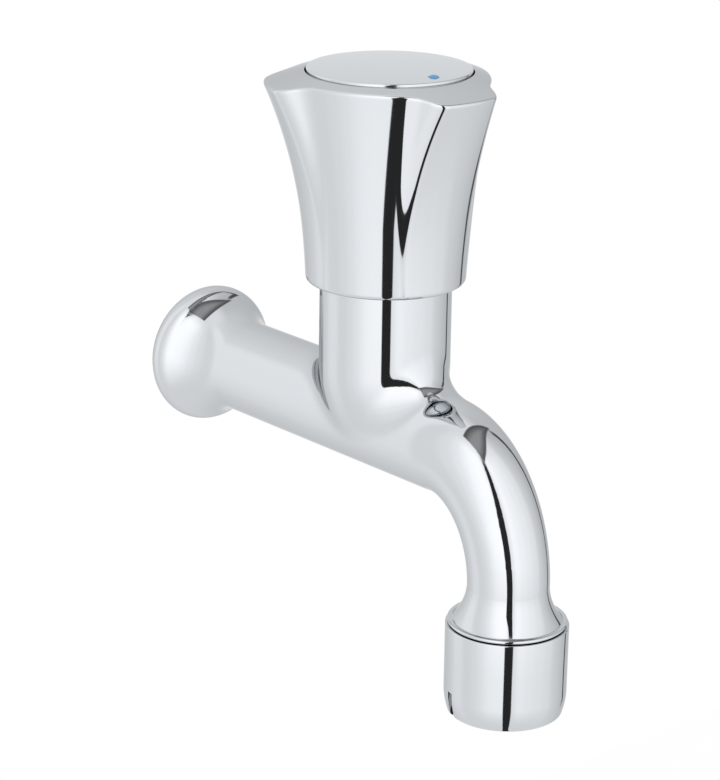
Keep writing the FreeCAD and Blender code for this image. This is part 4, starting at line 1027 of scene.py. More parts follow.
def make_dot(sizes):
    """Coloured dot, slightly domed, in its pocket."""
    middle = (DOT_LOW + DOT_HIGH) / 2 / MM
    low, edge = DOT_LOW.z / MM, DOT_HIGH.z / MM - DOT_EDGE
    radius = sizes.dot_radius / MM
    dome = sizes.dot_dome / MM
    profile = [(0.0, low), (radius, low), (radius, edge)]
    for step in range(1, DOME_STEPS):
        turn = math.radians(90 * step / DOME_STEPS)
        profile.append((radius * math.cos(turn), edge + dome * math.sin(turn)))
    profile.append((0.0, edge + dome))
    piece = turned_mesh("dot_skin", profile, (middle.x, middle.y), DOT_SEGMENTS)
    crease(piece, degrees=40.0)
    return piece


SHELL_THREAD_RADIUS = 11.05
SHELL_THREAD_FOOT = 9.0  # height of the thread's end over the shell's foot
SHELL_BORE = 10.3
SHELL_CHAMFER = 0.3
SHELL_FOOT_OPENING = 10.6
SHELL_TOP_OPENING = 11.35
TAPER_STEPS = 14
NOTCH_MARGINS = (2.0, 1.0)  # how far the notches' boxes stand out of the shell, outwards and downwards
BOX_FACES = [(0, 3, 2, 1), (4, 5, 6, 7), (0, 1, 5, 4), (1, 2, 6, 5), (2, 3, 7, 6), (3, 0, 4, 7)]


def make_shell(sizes, segments):
    """Turned shell of the aerator with rounded edges, drawn-in foot and two wrench notches."""
    foot, top = SHELL_LOW.z / MM, SHELL_HIGH.z / MM
    radius = sizes.radius / MM
    taper, rise = sizes.taper / MM, sizes.taper_rise / MM
    edge = sizes.foot_round / MM
    curve = (taper ** 2 + rise ** 2) / (2 * taper)
    start = foot + edge + rise
    corner = sizes.top_round / MM
    thread_foot = foot + SHELL_THREAD_FOOT
    profile = [(SHELL_THREAD_RADIUS, top - SHELL_CHAMFER), (SHELL_THREAD_RADIUS, thread_foot)]
    profile += [(SHELL_BORE, thread_foot), (SHELL_BORE, foot + SHELL_CHAMFER), (SHELL_FOOT_OPENING, foot)]
    profile += [(radius - taper - edge, foot)]
    profile += arc_points((radius - taper - edge, foot + edge), edge, -80.0, 0.0, steps=6)
    for step in range(1, TAPER_STEPS + 1):
        level = foot + edge + rise * step / TAPER_STEPS
        profile.append((radius - curve + math.sqrt(curve ** 2 - (start - level) ** 2), level))
    profile += [(radius, (start + top) / 2), (radius, top - corner)]
    profile += arc_points((radius - corner, top - corner), corner, 6.0, 90.0, steps=12)
    profile += [(SHELL_TOP_OPENING, top)]
    piece = turned_mesh("shell_skin", profile, (0, -SPOUT_AXIS), segments)
    cut_by(piece, [notch_tool(sizes, turn) for turn in (sizes.notch_angle, sizes.notch_angle + math.pi)])
    crease(piece, degrees=30.0)
    return piece


def notch_tool(sizes, turn):
    """Box that cuts one wrench notch out of the shell's foot, at an angle about the spout's axis."""
    foot = SHELL_LOW.z / MM
    radius = sizes.radius / MM
    width, height, depth = sizes.notch_width / MM, sizes.notch_height / MM, sizes.notch_depth / MM
    along = Vector((math.sin(turn), -math.cos(turn), 0))
    across = Vector((-along.y, along.x, 0))
    near, far = radius - depth, radius + NOTCH_MARGINS[0]
    points = []
    for level in (foot - NOTCH_MARGINS[1], foot + height):
        for reach, side in ((near, -1), (far, -1), (far, 1), (near, 1)):
            place = Vector((0, -SPOUT_AXIS, level)) + along * reach + across * (side * width / 2)
            points.append(place)
    tool = mesh_object("notch_tool", points, BOX_FACES)
    outward(tool)
    return tool


NIPPLE_COLUMNS = 96
NIPPLE_RADIUS = 8.35  # plain end in the body's socket
NIPPLE_BORE = 5.2
NIPPLE_CHAMFER = 0.8
KEY_HALF = 6.0  # half of the key socket's width over its flats
KEY_DEPTH = 8.0
THREAD_DEPTH = 0.6403  # in pitches, as the standard for pipe threads says
THREAD_ROWS = 14  # rings for one pitch
THREAD_FADE = 1.2  # length over which the thread runs out at the wall
THREAD_FLATS = 0.125  # share of a ridge that its crest and its root lose


def make_nipple(pitch):
    """Inlet nipple with its helical pipe thread, plain end and key socket."""
    low, high = -NIPPLE_HIGH.y / MM, -NIPPLE_LOW.y / MM
    crest = NIPPLE_HIGH.x / MM
    pitch = pitch / MM
    depth = THREAD_DEPTH * pitch
    columns = NIPPLE_COLUMNS
    turn = np.arange(columns) * 2 * math.pi / columns
    corner = np.abs((turn + math.pi / 6) % (math.pi / 3) - math.pi / 6)
    key = KEY_HALF / np.cos(corner)
    flat = np.ones(columns)
    rows = [
        (NIPPLE_BORE * flat, high), ((NIPPLE_RADIUS - NIPPLE_CHAMFER) * flat, high),
        (NIPPLE_RADIUS * flat, high - NIPPLE_CHAMFER), (NIPPLE_RADIUS * flat, 0.0),
        ((crest - depth) * flat, 0.0),
    ]
    steps = int((-low) / pitch * THREAD_ROWS)
    for step in range(1, steps + 1):
        away = low * step / steps
        phase = away / pitch - turn / (2 * math.pi)
        ridge = 0.5 - 0.5 * np.cos(2 * math.pi * phase)
        ridge = np.clip(ridge * (1 + 2 * THREAD_FLATS) - THREAD_FLATS, 0, 1)
        fade = min(1.0, -away / THREAD_FADE)
        radius = crest - depth * (1 - ridge * fade)
        rows.append((np.minimum(radius, crest - NIPPLE_CHAMFER + (away - low)), away))
    rows += [(key, low), (key, low + KEY_DEPTH), (NIPPLE_BORE * flat, low + KEY_DEPTH)]
    points = []
    for radius, away in rows:
        points.extend(zip(radius * np.sin(turn), -away * flat, radius * np.cos(turn)))
    piece = looped_mesh("nipple_skin", points, columns)
    crease(piece, degrees=42.0)
    return piece


# arithmetic and geometry as nodes


class Formula:
    """Small helper that writes arithmetic as nodes of a tree."""

    def __init__(self, tree):
        self.tree = tree

    def math(self, operation, *inputs):
        """Result of one step of arithmetic; the inputs are numbers or sockets."""
        item = self.tree.nodes.new("ShaderNodeMath")
        item.operation = operation
        for index, value in enumerate(inputs):
            if isinstance(value, bpy.types.NodeSocket):
                self.tree.links.new(value, item.inputs[index])
            else:
                item.inputs[index].default_value = value
        return item.outputs[0]

    def product(self, first, *others):
        """Product of all the values."""
        for other in others:
            first = self.math("MULTIPLY", first, other)
        return first

    def ramp(self, value, low, high):
        """0 below low, 1 above high, smooth between."""
        item = self.tree.nodes.new("ShaderNodeMapRange")
        item.interpolation_type = "SMOOTHSTEP"
        item.inputs["From Min"].default_value = low
        item.inputs["From Max"].default_value = high
        self.tree.links.new(value, item.inputs["Value"])
        return item.outputs["Result"]

    def fade(self, value, low, high):
        """1 below low, 0 above high, smooth between."""
        return self.math("SUBTRACT", 1.0, self.ramp(value, low, high))

    def mix(self, share, first, second):
        """first where share is 0, second where it is 1."""
        return self.math("ADD", first, self.product(share, self.math("SUBTRACT", second, first)))

    def along(self, parts, direction):
        """How far a vector, given by its three parts, reaches along a direction."""
        total = 0.0
        for part, size in zip(parts, direction):
            total = self.math("ADD", total, self.product(part, size))
        return total


class Growth(Formula):
    """Geometry node tree written step by step; its inputs are named."""

    def __init__(self, name, numbers):
        super().__init__(bpy.data.node_groups.new(name, "GeometryNodeTree"))
        face = self.tree.interface
        for label in numbers:
            face.new_socket(name=label, in_out="INPUT", socket_type="NodeSocketFloat")
        face.new_socket(name="Material", in_out="INPUT", socket_type="NodeSocketMaterial")
        face.new_socket(name="Geometry", in_out="OUTPUT", socket_type="NodeSocketGeometry")
        self.start = self.tree.nodes.new("NodeGroupInput")
        self.end = self.tree.nodes.new("NodeGroupOutput")

    def given(self, label):
        """Socket of a named input."""
        return self.start.outputs[label]

    def add(self, kind, *links, **settings):
        """First output of a new node; links are (input, value or socket) pairs, settings its properties."""
        item = self.tree.nodes.new(kind)
        for key, value in settings.items():
            setattr(item, key, value)
        for key, value in links:
            if isinstance(value, bpy.types.NodeSocket):
                self.tree.links.new(value, item.inputs[key])
            else:
                item.inputs[key].default_value = value
        return item.outputs[0]

    def vector(self, **parts):
        """Vector from its x, y and z; those left out are 0."""
        return self.add("ShaderNodeCombineXYZ", *(("XYZ".index(key.upper()), parts[key]) for key in parts))

    def place(self):
        """x and y of the point at hand."""
        split = self.tree.nodes.new("ShaderNodeSeparateXYZ")
        self.tree.links.new(self.add("GeometryNodeInputPosition"), split.inputs[0])
        return split.outputs[0], split.outputs[1]

    def together(self, *parts):
        """Geometries joined into one."""
        item = self.tree.nodes.new("GeometryNodeJoinGeometry")
        for part in parts:
            self.tree.links.new(part, item.inputs[0])
        return item.outputs[0]

    def copies(self, points, instance):
        """An instance on each point, as real geometry."""
        placed = self.add("GeometryNodeInstanceOnPoints", ("Points", points), ("Instance", instance))
        return self.add("GeometryNodeRealizeInstances", ("Geometry", placed))

    def finish(self, geometry):
        """Gives the geometry the named material and hands it out."""
        made = self.add("GeometryNodeRealizeInstances", ("Geometry", geometry))
        coat = self.add("GeometryNodeSetMaterial", ("Geometry", made), ("Material", self.given("Material")))
        self.tree.links.new(coat, self.end.inputs[0])
        return self.tree


def grown(name, tree, values):
    """Plain mesh piece made by a geometry node tree with the given inputs."""
    piece = bpy.data.objects.new(name, bpy.data.meshes.new(name))
    bpy.context.scene.collection.objects.link(piece)
    tool = piece.modifiers.new("growth", "NODES")
    tool.node_group = tree
    for item in tree.interface.items_tree:
        if item.in_out == "INPUT":
            tool[item.identifier] = values[item.name]
    return applied(piece)


GRID_RINGS = 2  # rings of cells round the middle one
PLATE_SEGMENTS = 96
PLATE_MERGE = 1e-6  # metres within which the plate's points are one
WIRE_SEGMENTS = 6
WIRE_POINTS = 73  # points along a wire
WIRES_WITHIN = 0.985  # share of the radius that the outermost wire may reach


def holed_plate_tree():
    """Round plate with six-sided holes on a triangular pattern, thickness upwards."""
    g = Growth("holed_plate", ("Cell", "Pitch", "Radius", "Thickness"))
    across, count = 2.0 * GRID_RINGS, 2 * GRID_RINGS + 1
    lattice = g.add("GeometryNodeMeshGrid", ("Size X", across), ("Size Y", across),
                    ("Vertices X", count), ("Vertices Y", count))
    i, j = g.place()
    far = g.math("ABSOLUTE", g.math("ADD", i, j))
    beyond = g.add("FunctionNodeCompare", ("A", far), ("B", GRID_RINGS + 0.5), operation="GREATER_THAN")
    kept = g.add("GeometryNodeDeleteGeometry", ("Geometry", lattice), ("Selection", beyond))
    x = g.product(g.math("MULTIPLY_ADD", j, 0.5, i), g.given("Pitch"))
    y = g.product(j, math.sqrt(0.75), g.given("Pitch"))
    points = g.add("GeometryNodeSetPosition", ("Geometry", kept), ("Position", g.vector(x=x, y=y)))
    corner = g.math("DIVIDE", g.given("Cell"), math.sqrt(3.0))
    hexagon = g.add("GeometryNodeCurvePrimitiveCircle", ("Resolution", 6), ("Radius", corner))
    turned = g.add("GeometryNodeTransform", ("Geometry", hexagon), ("Rotation", (0, 0, math.pi / 6)))
    cells = g.copies(points, turned)
    reach = g.given("Radius")
    rim = g.add("GeometryNodeCurvePrimitiveCircle", ("Resolution", PLATE_SEGMENTS), ("Radius", reach))
    plate = g.add("GeometryNodeFillCurve", ("Curve", g.together(cells, rim)))
    raised = g.add("GeometryNodeExtrudeMesh", ("Mesh", plate), ("Offset", g.vector(z=g.given("Thickness"))),
                   ("Offset Scale", 1.0), ("Individual", False))
    under = g.add("GeometryNodeFlipFaces", ("Mesh", plate))
    both = g.together(raised, under)
    return g.finish(g.add("GeometryNodeMergeByDistance", ("Geometry", both), ("Distance", PLATE_MERGE)))


def woven_wires_tree():
    """Round piece of woven wire.

    The wires run along Y, and the same turned to X; each passes over and under the others.
    """
    g = Growth("woven_wires", ("Gap", "Wire Radius", "Radius"))
    gap, reach = g.given("Gap"), g.given("Radius")
    half = g.math("FLOOR", g.math("DIVIDE", g.product(reach, WIRES_WITHIN), gap))
    count = g.math("MULTIPLY_ADD", half, 2.0, 1.0)
    begin = g.vector(x=g.product(half, gap, -1.0))
    step = g.vector(x=gap)
    row = g.add("GeometryNodeMeshLine", ("Count", count), ("Start Location", begin), ("Offset", step))
    line = g.add("GeometryNodeCurvePrimitiveLine", ("Start", (0, -1, 0)), ("End", (0, 1, 0)))
    fine = g.add("GeometryNodeResampleCurve", ("Curve", line), ("Count", WIRE_POINTS))
    loose = g.copies(row, fine)
    x, y = g.place()
    room = g.math("SUBTRACT", g.product(reach, reach), g.product(x, x))
    chord = g.product(y, g.math("SQRT", g.math("MAXIMUM", room, 0.0)))
    first = g.add("GeometryNodeSetPosition", ("Geometry", loose), ("Position", g.vector(x=x, y=chord)))
    second = g.add("GeometryNodeTransform", ("Geometry", first), ("Rotation", (0, 0, math.pi / 2)))
    beat = g.math("DIVIDE", math.pi, gap)
    wave = g.product(g.math("COSINE", g.product(x, beat)), g.math("COSINE", g.product(y, beat)))
    lift = g.product(wave, g.given("Wire Radius"))
    woven = []
    for source, sign in ((first, 1.0), (second, -1.0)):
        rise = g.vector(z=g.product(lift, sign))
        woven.append(g.add("GeometryNodeSetPosition", ("Geometry", source), ("Offset", rise)))
    thick = g.given("Wire Radius")
    ring = g.add("GeometryNodeCurvePrimitiveCircle", ("Resolution", WIRE_SEGMENTS), ("Radius", thick))
    wires = g.add("GeometryNodeCurveToMesh", ("Curve", g.together(*woven)), ("Profile Curve", ring),
                  ("Fill Caps", True))
    return g.finish(wires)


SCREEN_RIM = 0.6  # width of the screen's rim
SCREEN_RIM_CHAMFER = 0.1
WIRES_IN_RIM = 0.35  # distance from the rim's outside at which the wires end
SCREEN_SEGMENTS = 96


def make_grid(sizes, material):
    """Outlet grid with its six-sided cells."""
    values = {
        "Cell": sizes.cell_across, "Pitch": sizes.cell_pitch, "Radius": GRID_HIGH.x,
        "Thickness": GRID_HIGH.z - GRID_LOW.z, "Material": material,
    }
    piece = grown("grid_skin", holed_plate_tree(), values)
    piece.data.transform(Matrix.Translation((0, -SPOUT_AXIS * MM, GRID_LOW.z)))
    outward(piece)
    crease(piece, degrees=30.0)
    return piece


def make_screen(sizes, material):
    """Woven screen in its thin rim."""
    low, high = SCREEN_LOW.z / MM, SCREEN_HIGH.z / MM
    reach = SCREEN_HIGH.x / MM
    values = {
        "Gap": sizes.wire_gap, "Wire Radius": sizes.wire_radius, "Radius": (reach - WIRES_IN_RIM) * MM,
        "Material": material,
    }
    wires = grown("screen_wires", woven_wires_tree(), values)
    wires.data.transform(Matrix.Translation((0, -SPOUT_AXIS * MM, (low + high) / 2 * MM)))
    profile = rounded_ring(reach - SCREEN_RIM, reach, low, high, SCREEN_RIM_CHAMFER)
    rim = turned_mesh("screen_rim", profile, (0, -SPOUT_AXIS), SCREEN_SEGMENTS)
    piece = joined("screen_skin", [wires, rim])
    outward(piece)
    crease(piece, degrees=60.0)
    return piece


def rounded_ring(inner, outer, low, high, size):
    """Closed profile of a ring with small chamfers, for a turned piece."""
    return [(inner, low + size), (inner + size, low), (outer - size, low), (outer, low + size),
            (outer, high - size), (outer - size, high), (inner + size, high), (inner, high - size)]


# materials

FINISH = "finish_"  # start of the name of every finish
TARNISH = 0.72  # brightness of the tarnished spots of turned metal
CLIP_STEEL = (0.56, 0.56, 0.57)
FIBRE = (0.42, 0.08, 0.05), (0.55, 0.14, 0.09)  # dark and pale tone, as for the next two
WHITE_PLASTIC = (0.74, 0.74, 0.72), (0.80, 0.80, 0.78)
AERATOR_PLASTIC = (0.62, 0.64, 0.66), (0.70, 0.72, 0.74)


def node(tree, kind, **values):
    """New node with its properties and unlinked inputs set by name."""
    item = tree.nodes.new(kind)
    for name, value in values.items():
        if hasattr(item, name):
            setattr(item, name, value)
        else:
            item.inputs[name.replace("_", " ")].default_value = value
    return item


def empty_tree(owner, output):
    """Node tree of a material or a world with nothing but its output, and the output's surface."""
    owner.use_nodes = True
    tree = owner.node_tree
    tree.nodes.clear()
    return tree, tree.nodes.new(output).inputs["Surface"]


def mixed(tree, share, first, second):
    """Shader that is first where share is 0 and second where it is 1."""
    mix = tree.nodes.new("ShaderNodeMixShader")
    tree.links.new(share, mix.inputs["Fac"])
    tree.links.new(first, mix.inputs[1])
    tree.links.new(second, mix.inputs[2])
    return mix.outputs[0]


def new_material(name):
    """Tree and principled shader of a new finish."""
    material = bpy.data.materials.new(FINISH + name)
    tree, surface = empty_tree(material, "ShaderNodeOutputMaterial")
    shader = tree.nodes.new("ShaderNodeBsdfPrincipled")
    tree.links.new(shader.outputs["BSDF"], surface)
    return tree, shader


def polish_group():
    """Node group: very fine polishing haze for roughness, and the faintest waviness for the normal."""
    group = bpy.data.node_groups.new("polish_haze", "ShaderNodeTree")
    face = group.interface
    for name, default in (("Base Roughness", 0.05), ("Haze", 0.03), ("Scale", 60.0), ("Wave", 0.02)):
        socket = face.new_socket(name=name, in_out="INPUT", socket_type="NodeSocketFloat")
        socket.default_value = default
    face.new_socket(name="Roughness", in_out="OUTPUT", socket_type="NodeSocketFloat")
    face.new_socket(name="Normal", in_out="OUTPUT", socket_type="NodeSocketVector")
    start = group.nodes.new("NodeGroupInput")
    end = group.nodes.new("NodeGroupOutput")
    place = group.nodes.new("ShaderNodeTexCoord")
    haze = node(group, "ShaderNodeTexNoise", Detail=4.0, Roughness=0.6)
    span = node(group, "ShaderNodeMapRange", From_Min=0.35, From_Max=0.75)
    scaled = node(group, "ShaderNodeMath", operation="MULTIPLY_ADD")
    wave = node(group, "ShaderNodeTexNoise", Scale=25.0, Detail=1.0)
    bump = node(group, "ShaderNodeBump", Distance=0.0002)
    for source, target in (
        (place.outputs["Object"], haze.inputs["Vector"]), (start.outputs["Scale"], haze.inputs["Scale"]),
        (haze.outputs["Fac"], span.inputs["Value"]), (span.outputs["Result"], scaled.inputs[0]),
        (start.outputs["Haze"], scaled.inputs[1]), (start.outputs["Base Roughness"], scaled.inputs[2]),
        (scaled.outputs[0], end.inputs["Roughness"]), (place.outputs["Object"], wave.inputs["Vector"]),
        (start.outputs["Wave"], bump.inputs["Strength"]), (wave.outputs["Fac"], bump.inputs["Height"]),
        (bump.outputs["Normal"], end.inputs["Normal"]),
    ):
        group.links.new(source, target)
    return group


def add_polish(tree, shader, polish, **values):
    """Roughness and normal of a shader from the polish group with its own values."""
    group = tree.nodes.new("ShaderNodeGroup")
    group.node_tree = polish
    for name, value in values.items():
        group.inputs[name.replace("_", " ")].default_value = value
    for name in ("Roughness", "Normal"):
        tree.links.new(group.outputs[name], shader.inputs[name])


def add_speckle(tree, shader, dark, pale, scale, detail, start):
    """Colour between two tones by a fine noise, which counts from start to 1 - start; returns the noise."""
    place = tree.nodes.new("ShaderNodeTexCoord")
    speck = node(tree, "ShaderNodeTexNoise", Scale=scale, Detail=detail)
    ramp = tree.nodes.new("ShaderNodeValToRGB")
    low, high = ramp.color_ramp.elements
    low.position, high.position = start, 1 - start
    low.color, high.color = (*dark, 1), (*pale, 1)
    tree.links.new(place.outputs["Object"], speck.inputs["Vector"])
    tree.links.new(speck.outputs["Fac"], ramp.inputs["Fac"])
    tree.links.new(ramp.outputs["Color"], shader.inputs["Base Color"])
    return speck.outputs["Fac"]


def chrome_material(name, colour, polish, base, haze=0.02, rim=0.73):
    """Polished plating; rim is its brightness where it is seen at a flat angle."""
    tree, shader = new_material(name)
    shader.inputs["Base Color"].default_value = (*colour, 1)
    shader.inputs["Metallic"].default_value = 1.0
    shader.inputs["Specular Tint"].default_value = (rim, rim * 1.01, rim * 1.02, 1)
    add_polish(tree, shader, polish, Base_Roughness=base, Haze=haze, Wave=0.01)


def turned_metal(name, colour, polish, roughness):
    """Machined metal with fine turning marks and a little tarnish."""
    tree, shader = new_material(name)
    shader.inputs["Metallic"].default_value = 1.0
    add_speckle(tree, shader, [c * TARNISH for c in colour], colour, scale=180.0, detail=5.0, start=0.3)
    add_polish(tree, shader, polish, Base_Roughness=roughness, Haze=0.12, Scale=400.0, Wave=0.15)


def soft_material(name, dark, pale, roughness, grain, depth):
    """Rubber, fibre or plastic: speckled colour and a fine grain."""
    tree, shader = new_material(name)
    speck = add_speckle(tree, shader, dark, pale, scale=grain, detail=6.0, start=0.35)
    shader.inputs["Roughness"].default_value = roughness
    bump = node(tree, "ShaderNodeBump", Distance=depth, Strength=0.4)
    tree.links.new(speck, bump.inputs["Height"])
    tree.links.new(bump.outputs["Normal"], shader.inputs["Normal"])


def all_materials(finishes):
    """Every finish of the tap by the name of its slot, built once."""
    made = finished_materials()
    if made:
        return made
    polish = polish_group()
    chrome, brass, rubber, dot = (
        tuple(colour) for colour in (finishes.chrome, finishes.brass, finishes.rubber, finishes.dot)
    )
    chrome_material("chrome_body", chrome, polish, base=0.035)
    chrome_material("chrome_handle", chrome, polish, base=0.045)
    chrome_material("chrome_cap", chrome, polish, base=0.10, haze=0.03, rim=0.97)
    chrome_material("chrome_shell", chrome, polish, base=0.04)
    turned_metal("raw_brass", brass, polish, roughness=0.28)
    turned_metal("spindle_brass", [c * 0.95 for c in brass], polish, roughness=0.22)
    turned_metal("clip_steel", CLIP_STEEL, polish, roughness=0.25)
    pale = [c * 1.8 for c in rubber]
    soft_material("seal_rubber", rubber, pale, roughness=0.55, grain=900.0, depth=0.00005)
    soft_material("fibre_seal", *FIBRE, roughness=0.8, grain=1500.0, depth=0.0001)
    soft_material("white_plastic", *WHITE_PLASTIC, roughness=0.4, grain=300.0, depth=0.00003)
    soft_material("aerator_plastic", *AERATOR_PLASTIC, roughness=0.35, grain=300.0, depth=0.00003)
    soft_material("blue_dot", [c * 0.93 for c in dot], dot, roughness=0.45, grain=500.0, depth=0.00001)
    return finished_materials()


def finished_materials():
    """The finishes that are there already, by the name of their slot."""
    return {item.name[len(FINISH):]: item for item in bpy.data.materials if item.name.startswith(FINISH)}


def finish(piece, material, body, slot_name, *nodes):
    """Material, body and replaced nodes of a finished piece; slot_name is not used."""
    piece.data.materials.clear()
    piece.data.materials.append(material)
    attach(piece, body)
    if nodes:
        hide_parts(*nodes)
    return piece


# operators


class TAP_OT_body(bpy.types.Operator):
    """Polished skin of the cast body"""

    bl_idname = "tap.body"
    bl_label = "Body"

    def execute(self, context):
        scene = context.scene
        materials = all_materials(scene.tap_finishes)
        piece = make_body(scene.tap_body_sizes)
        finish(piece, materials["chrome_body"], "body", "chrome_body", "tap_body")
        return {"FINISHED"}


class TAP_OT_handle(bpy.types.Operator):
    """Lobed handle"""

    bl_idname = "tap.handle"
    bl_label = "Handle"

    def execute(self, context):
        scene = context.scene
        materials = all_materials(scene.tap_finishes)
        piece = make_handle(scene.handle_sizes)
        finish(piece, materials["chrome_handle"], "handle", "chrome_handle", "handle_shell")
        return {"FINISHED"}


class TAP_OT_cap(bpy.types.Operator):
    """Cap of the handle with its coloured dot"""

    bl_idname = "tap.cap"
    bl_label = "Cap and dot"

    def execute(self, context):
        scene = context.scene
        materials = all_materials(scene.tap_finishes)
        cap = make_cap(scene.cap_sizes, scene.tap_finishes.segments)
        finish(cap, materials["chrome_cap"], "handle", "chrome_cap", "handle_cap")
        dot = make_dot(scene.cap_sizes)
        finish(dot, materials["blue_dot"], "handle", "blue_dot", "index_dot")
        return {"FINISHED"}


class TAP_OT_outlet(bpy.types.Operator):
    """Aerator shell with its notches, outlet grid and woven screen"""

    bl_idname = "tap.outlet"
    bl_label = "Outlet"

    def execute(self, context):
        scene = context.scene
        sizes = scene.aerator_sizes
        materials = all_materials(scene.tap_finishes)
        shell = make_shell(sizes, scene.tap_finishes.segments)
        finish(shell, materials["chrome_shell"], "body", "chrome_shell", "aerator_shell")
        grid = make_grid(sizes, materials["aerator_plastic"])
        finish(grid, materials["aerator_plastic"], "body", "aerator_plastic", "aerator_grid")
        screen = make_screen(sizes, materials["clip_steel"])
        finish(screen, materials["clip_steel"], "body", "clip_steel", "aerator_screen")
        return {"FINISHED"}


class TAP_OT_inlet(bpy.types.Operator):
    """Inlet nipple with its pipe thread"""

    bl_idname = "tap.inlet"
    bl_label = "Inlet"

    def execute(self, context):
        scene = context.scene
        materials = all_materials(scene.tap_finishes)
        nipple = make_nipple(scene.tap_finishes.thread_pitch)
        finish(nipple, materials["raw_brass"], "body", "raw_brass", "inlet_nipple")
        return {"FINISHED"}


class TAP_OT_inner_parts(bpy.types.Operator):
    """Finishes of the pieces that keep their CAD shape"""

    bl_idname = "tap.inner_parts"
    bl_label = "Inner parts"

    def execute(self, context):
        materials = all_materials(context.scene.tap_finishes)
        for entry in frame["record"]["subparts"]:
            item = frame["nodes"][entry["node"]]
            item.data.materials.clear()
            item.data.materials.append(materials[entry["material_slot"]])
        return {"FINISHED"}


class TAP_OT_studio(bpy.types.Operator):
    """Pale floor, white surroundings with two light panels, and the camera"""

    bl_idname = "tap.studio"
    bl_label = "Studio"

    def execute(self, context):
        build_floor()
        build_wall()
        build_world(context.scene)
        build_lamps()
        build_camera(context.scene)
        return {"FINISHED"}


FLOOR_LEVEL = -0.16  # metres
FLOOR_HALF = 3.0
FLOOR_GLOW = 0.96  # share of plain white in what the camera sees of the floor
FLOOR_PAINT = (0.9, 0.9, 0.9, 1)
WALL_DISTANCE = 0.0006
WALL_LOW, WALL_HIGH = (-0.25, -0.2), (0.25, 0.3)  # x and z of its corners
WHITE = (1, 1, 1, 1)


def sheet(name, corners, material_name):
    """Flat sheet with an empty material; returns it with the material's tree and surface."""
    mesh = bpy.data.meshes.new(name)
    mesh.from_pydata(corners, [], [(0, 1, 2, 3)])
    piece = bpy.data.objects.new(name, mesh)
    bpy.context.scene.collection.objects.link(piece)
    material = bpy.data.materials.new(material_name)
    mesh.materials.append(material)
    return piece, *empty_tree(material, "ShaderNodeOutputMaterial")


def build_floor():
    """Pale floor: almost plain white for the camera, with faint shadows, and paint for diffuse light."""
    size, level = FLOOR_HALF, FLOOR_LEVEL
    corners = [(-size, -size, level), (size, -size, level), (size, size, level), (-size, size, level)]
    floor, tree, surface = sheet("floor", corners, "pale_floor")
    paint = node(tree, "ShaderNodeBsdfDiffuse", Color=FLOOR_PAINT)
    glow = node(tree, "ShaderNodeEmission", Color=WHITE, Strength=1.0)
    rays = tree.nodes.new("ShaderNodeLightPath").outputs
    f = Formula(tree)
    seen = f.math("MAXIMUM", rays["Is Camera Ray"], rays["Is Glossy Ray"])
    seen = f.product(f.math("MAXIMUM", seen, rays["Is Transmission Ray"]), FLOOR_GLOW)
    tree.links.new(mixed(tree, seen, paint.outputs[0], glow.outputs[0]), surface)
    floor.visible_glossy = False


def build_wall():
    """White sheet just behind the flange that only a view from the front sees."""
    away = WALL_DISTANCE
    (left, low), (right, high) = WALL_LOW, WALL_HIGH
    corners = [(left, away, low), (right, away, low), (right, away, high), (left, away, high)]
    wall, tree, surface = sheet("wall", corners, "white_wall")
    glow = node(tree, "ShaderNodeEmission", Color=WHITE, Strength=1.0)
    clear = node(tree, "ShaderNodeBsdfTransparent", Color=WHITE)
    side = tree.nodes.new("ShaderNodeNewGeometry").outputs["Backfacing"]
    tree.links.new(mixed(tree, side, glow.outputs[0], clear.outputs[0]), surface)
    wall.visible_diffuse = False
    wall.visible_glossy = False
    wall.visible_shadow = False
    wall.visible_transmission = False


# brightness of the surroundings round the horizon: (azimuth in degrees, brightness)
HORIZON = (
    (-180, 1.02), (-168, 1.06), (-150, 1.23), (-139, 1.22), (-125, 1.06), (-117, 1.06), (-105, 1.15),
    (-90, 1.30),
    (-85, 1.40), (-80, 1.47), (-75, 1.54), (-70, 1.58), (-60, 1.62), (-50, 1.62), (-33, 1.20), (-27, 1.35),
    (-22, 1.50), (-18, 1.55), (0, 1.44), (20, 1.34), (40, 1.22), (60, 0.96), (70, 0.88), (80, 0.80),
    (87, 0.74),
    (100, 0.80), (139, 0.93), (165, 0.98), (180, 1.02),
)


# light of the regions round it: brightness, and the heights in degrees between which it sets in or out
BELOW_LIGHT, BELOW_FADE = 1.02, (-58.0, 2.0)
ABOVE_LIGHT, ABOVE_RAMP = 1.13, (55.0, 80.0)

# the dark upright strip at the camera: angles in degrees
STRIP_LIGHT = 0.03
STRIP_AZIMUTH = -39.4
STRIP_LEAN = 0.15  # turn for each degree of height above the next value
STRIP_LEANS_ABOVE = 14.0
STRIP_HALF = 7.6  # half of its width
STRIP_NARROWS = 2.6  # how much of it is lost between the next two heights
STRIP_NARROWS_AT = (10.0, 45.0)
STRIP_EDGE = (-0.5, 0.7)
STRIP_END = (52.0, 72.0)

# the dark wedge overhead, between two planes through the middle: their directions, and distances from them
WEDGE_FRONT = (-0.335, 0.862, 0.380)
WEDGE_BACK = (-0.154, 0.981, -0.004)
WEDGE_SHIFT = 0.08  # how far the front plane moves between the next two values of x
WEDGE_SHIFTS_AT = (0.0, 0.7)
WEDGE_FRONT_EDGE = (-0.01, 0.02)
WEDGE_BACK_EDGE = (-0.01, 0.01)
WEDGE_LEFT = (-0.26, -0.22)
WEDGE_LOW = (0.1, 0.3)
WEDGE_LIGHT = 0.12
WEDGE_INNER_LIGHT = 0.30  # more light inside, from the edge to the next distance
WEDGE_INNER_RAMP = (0.0, 0.16)

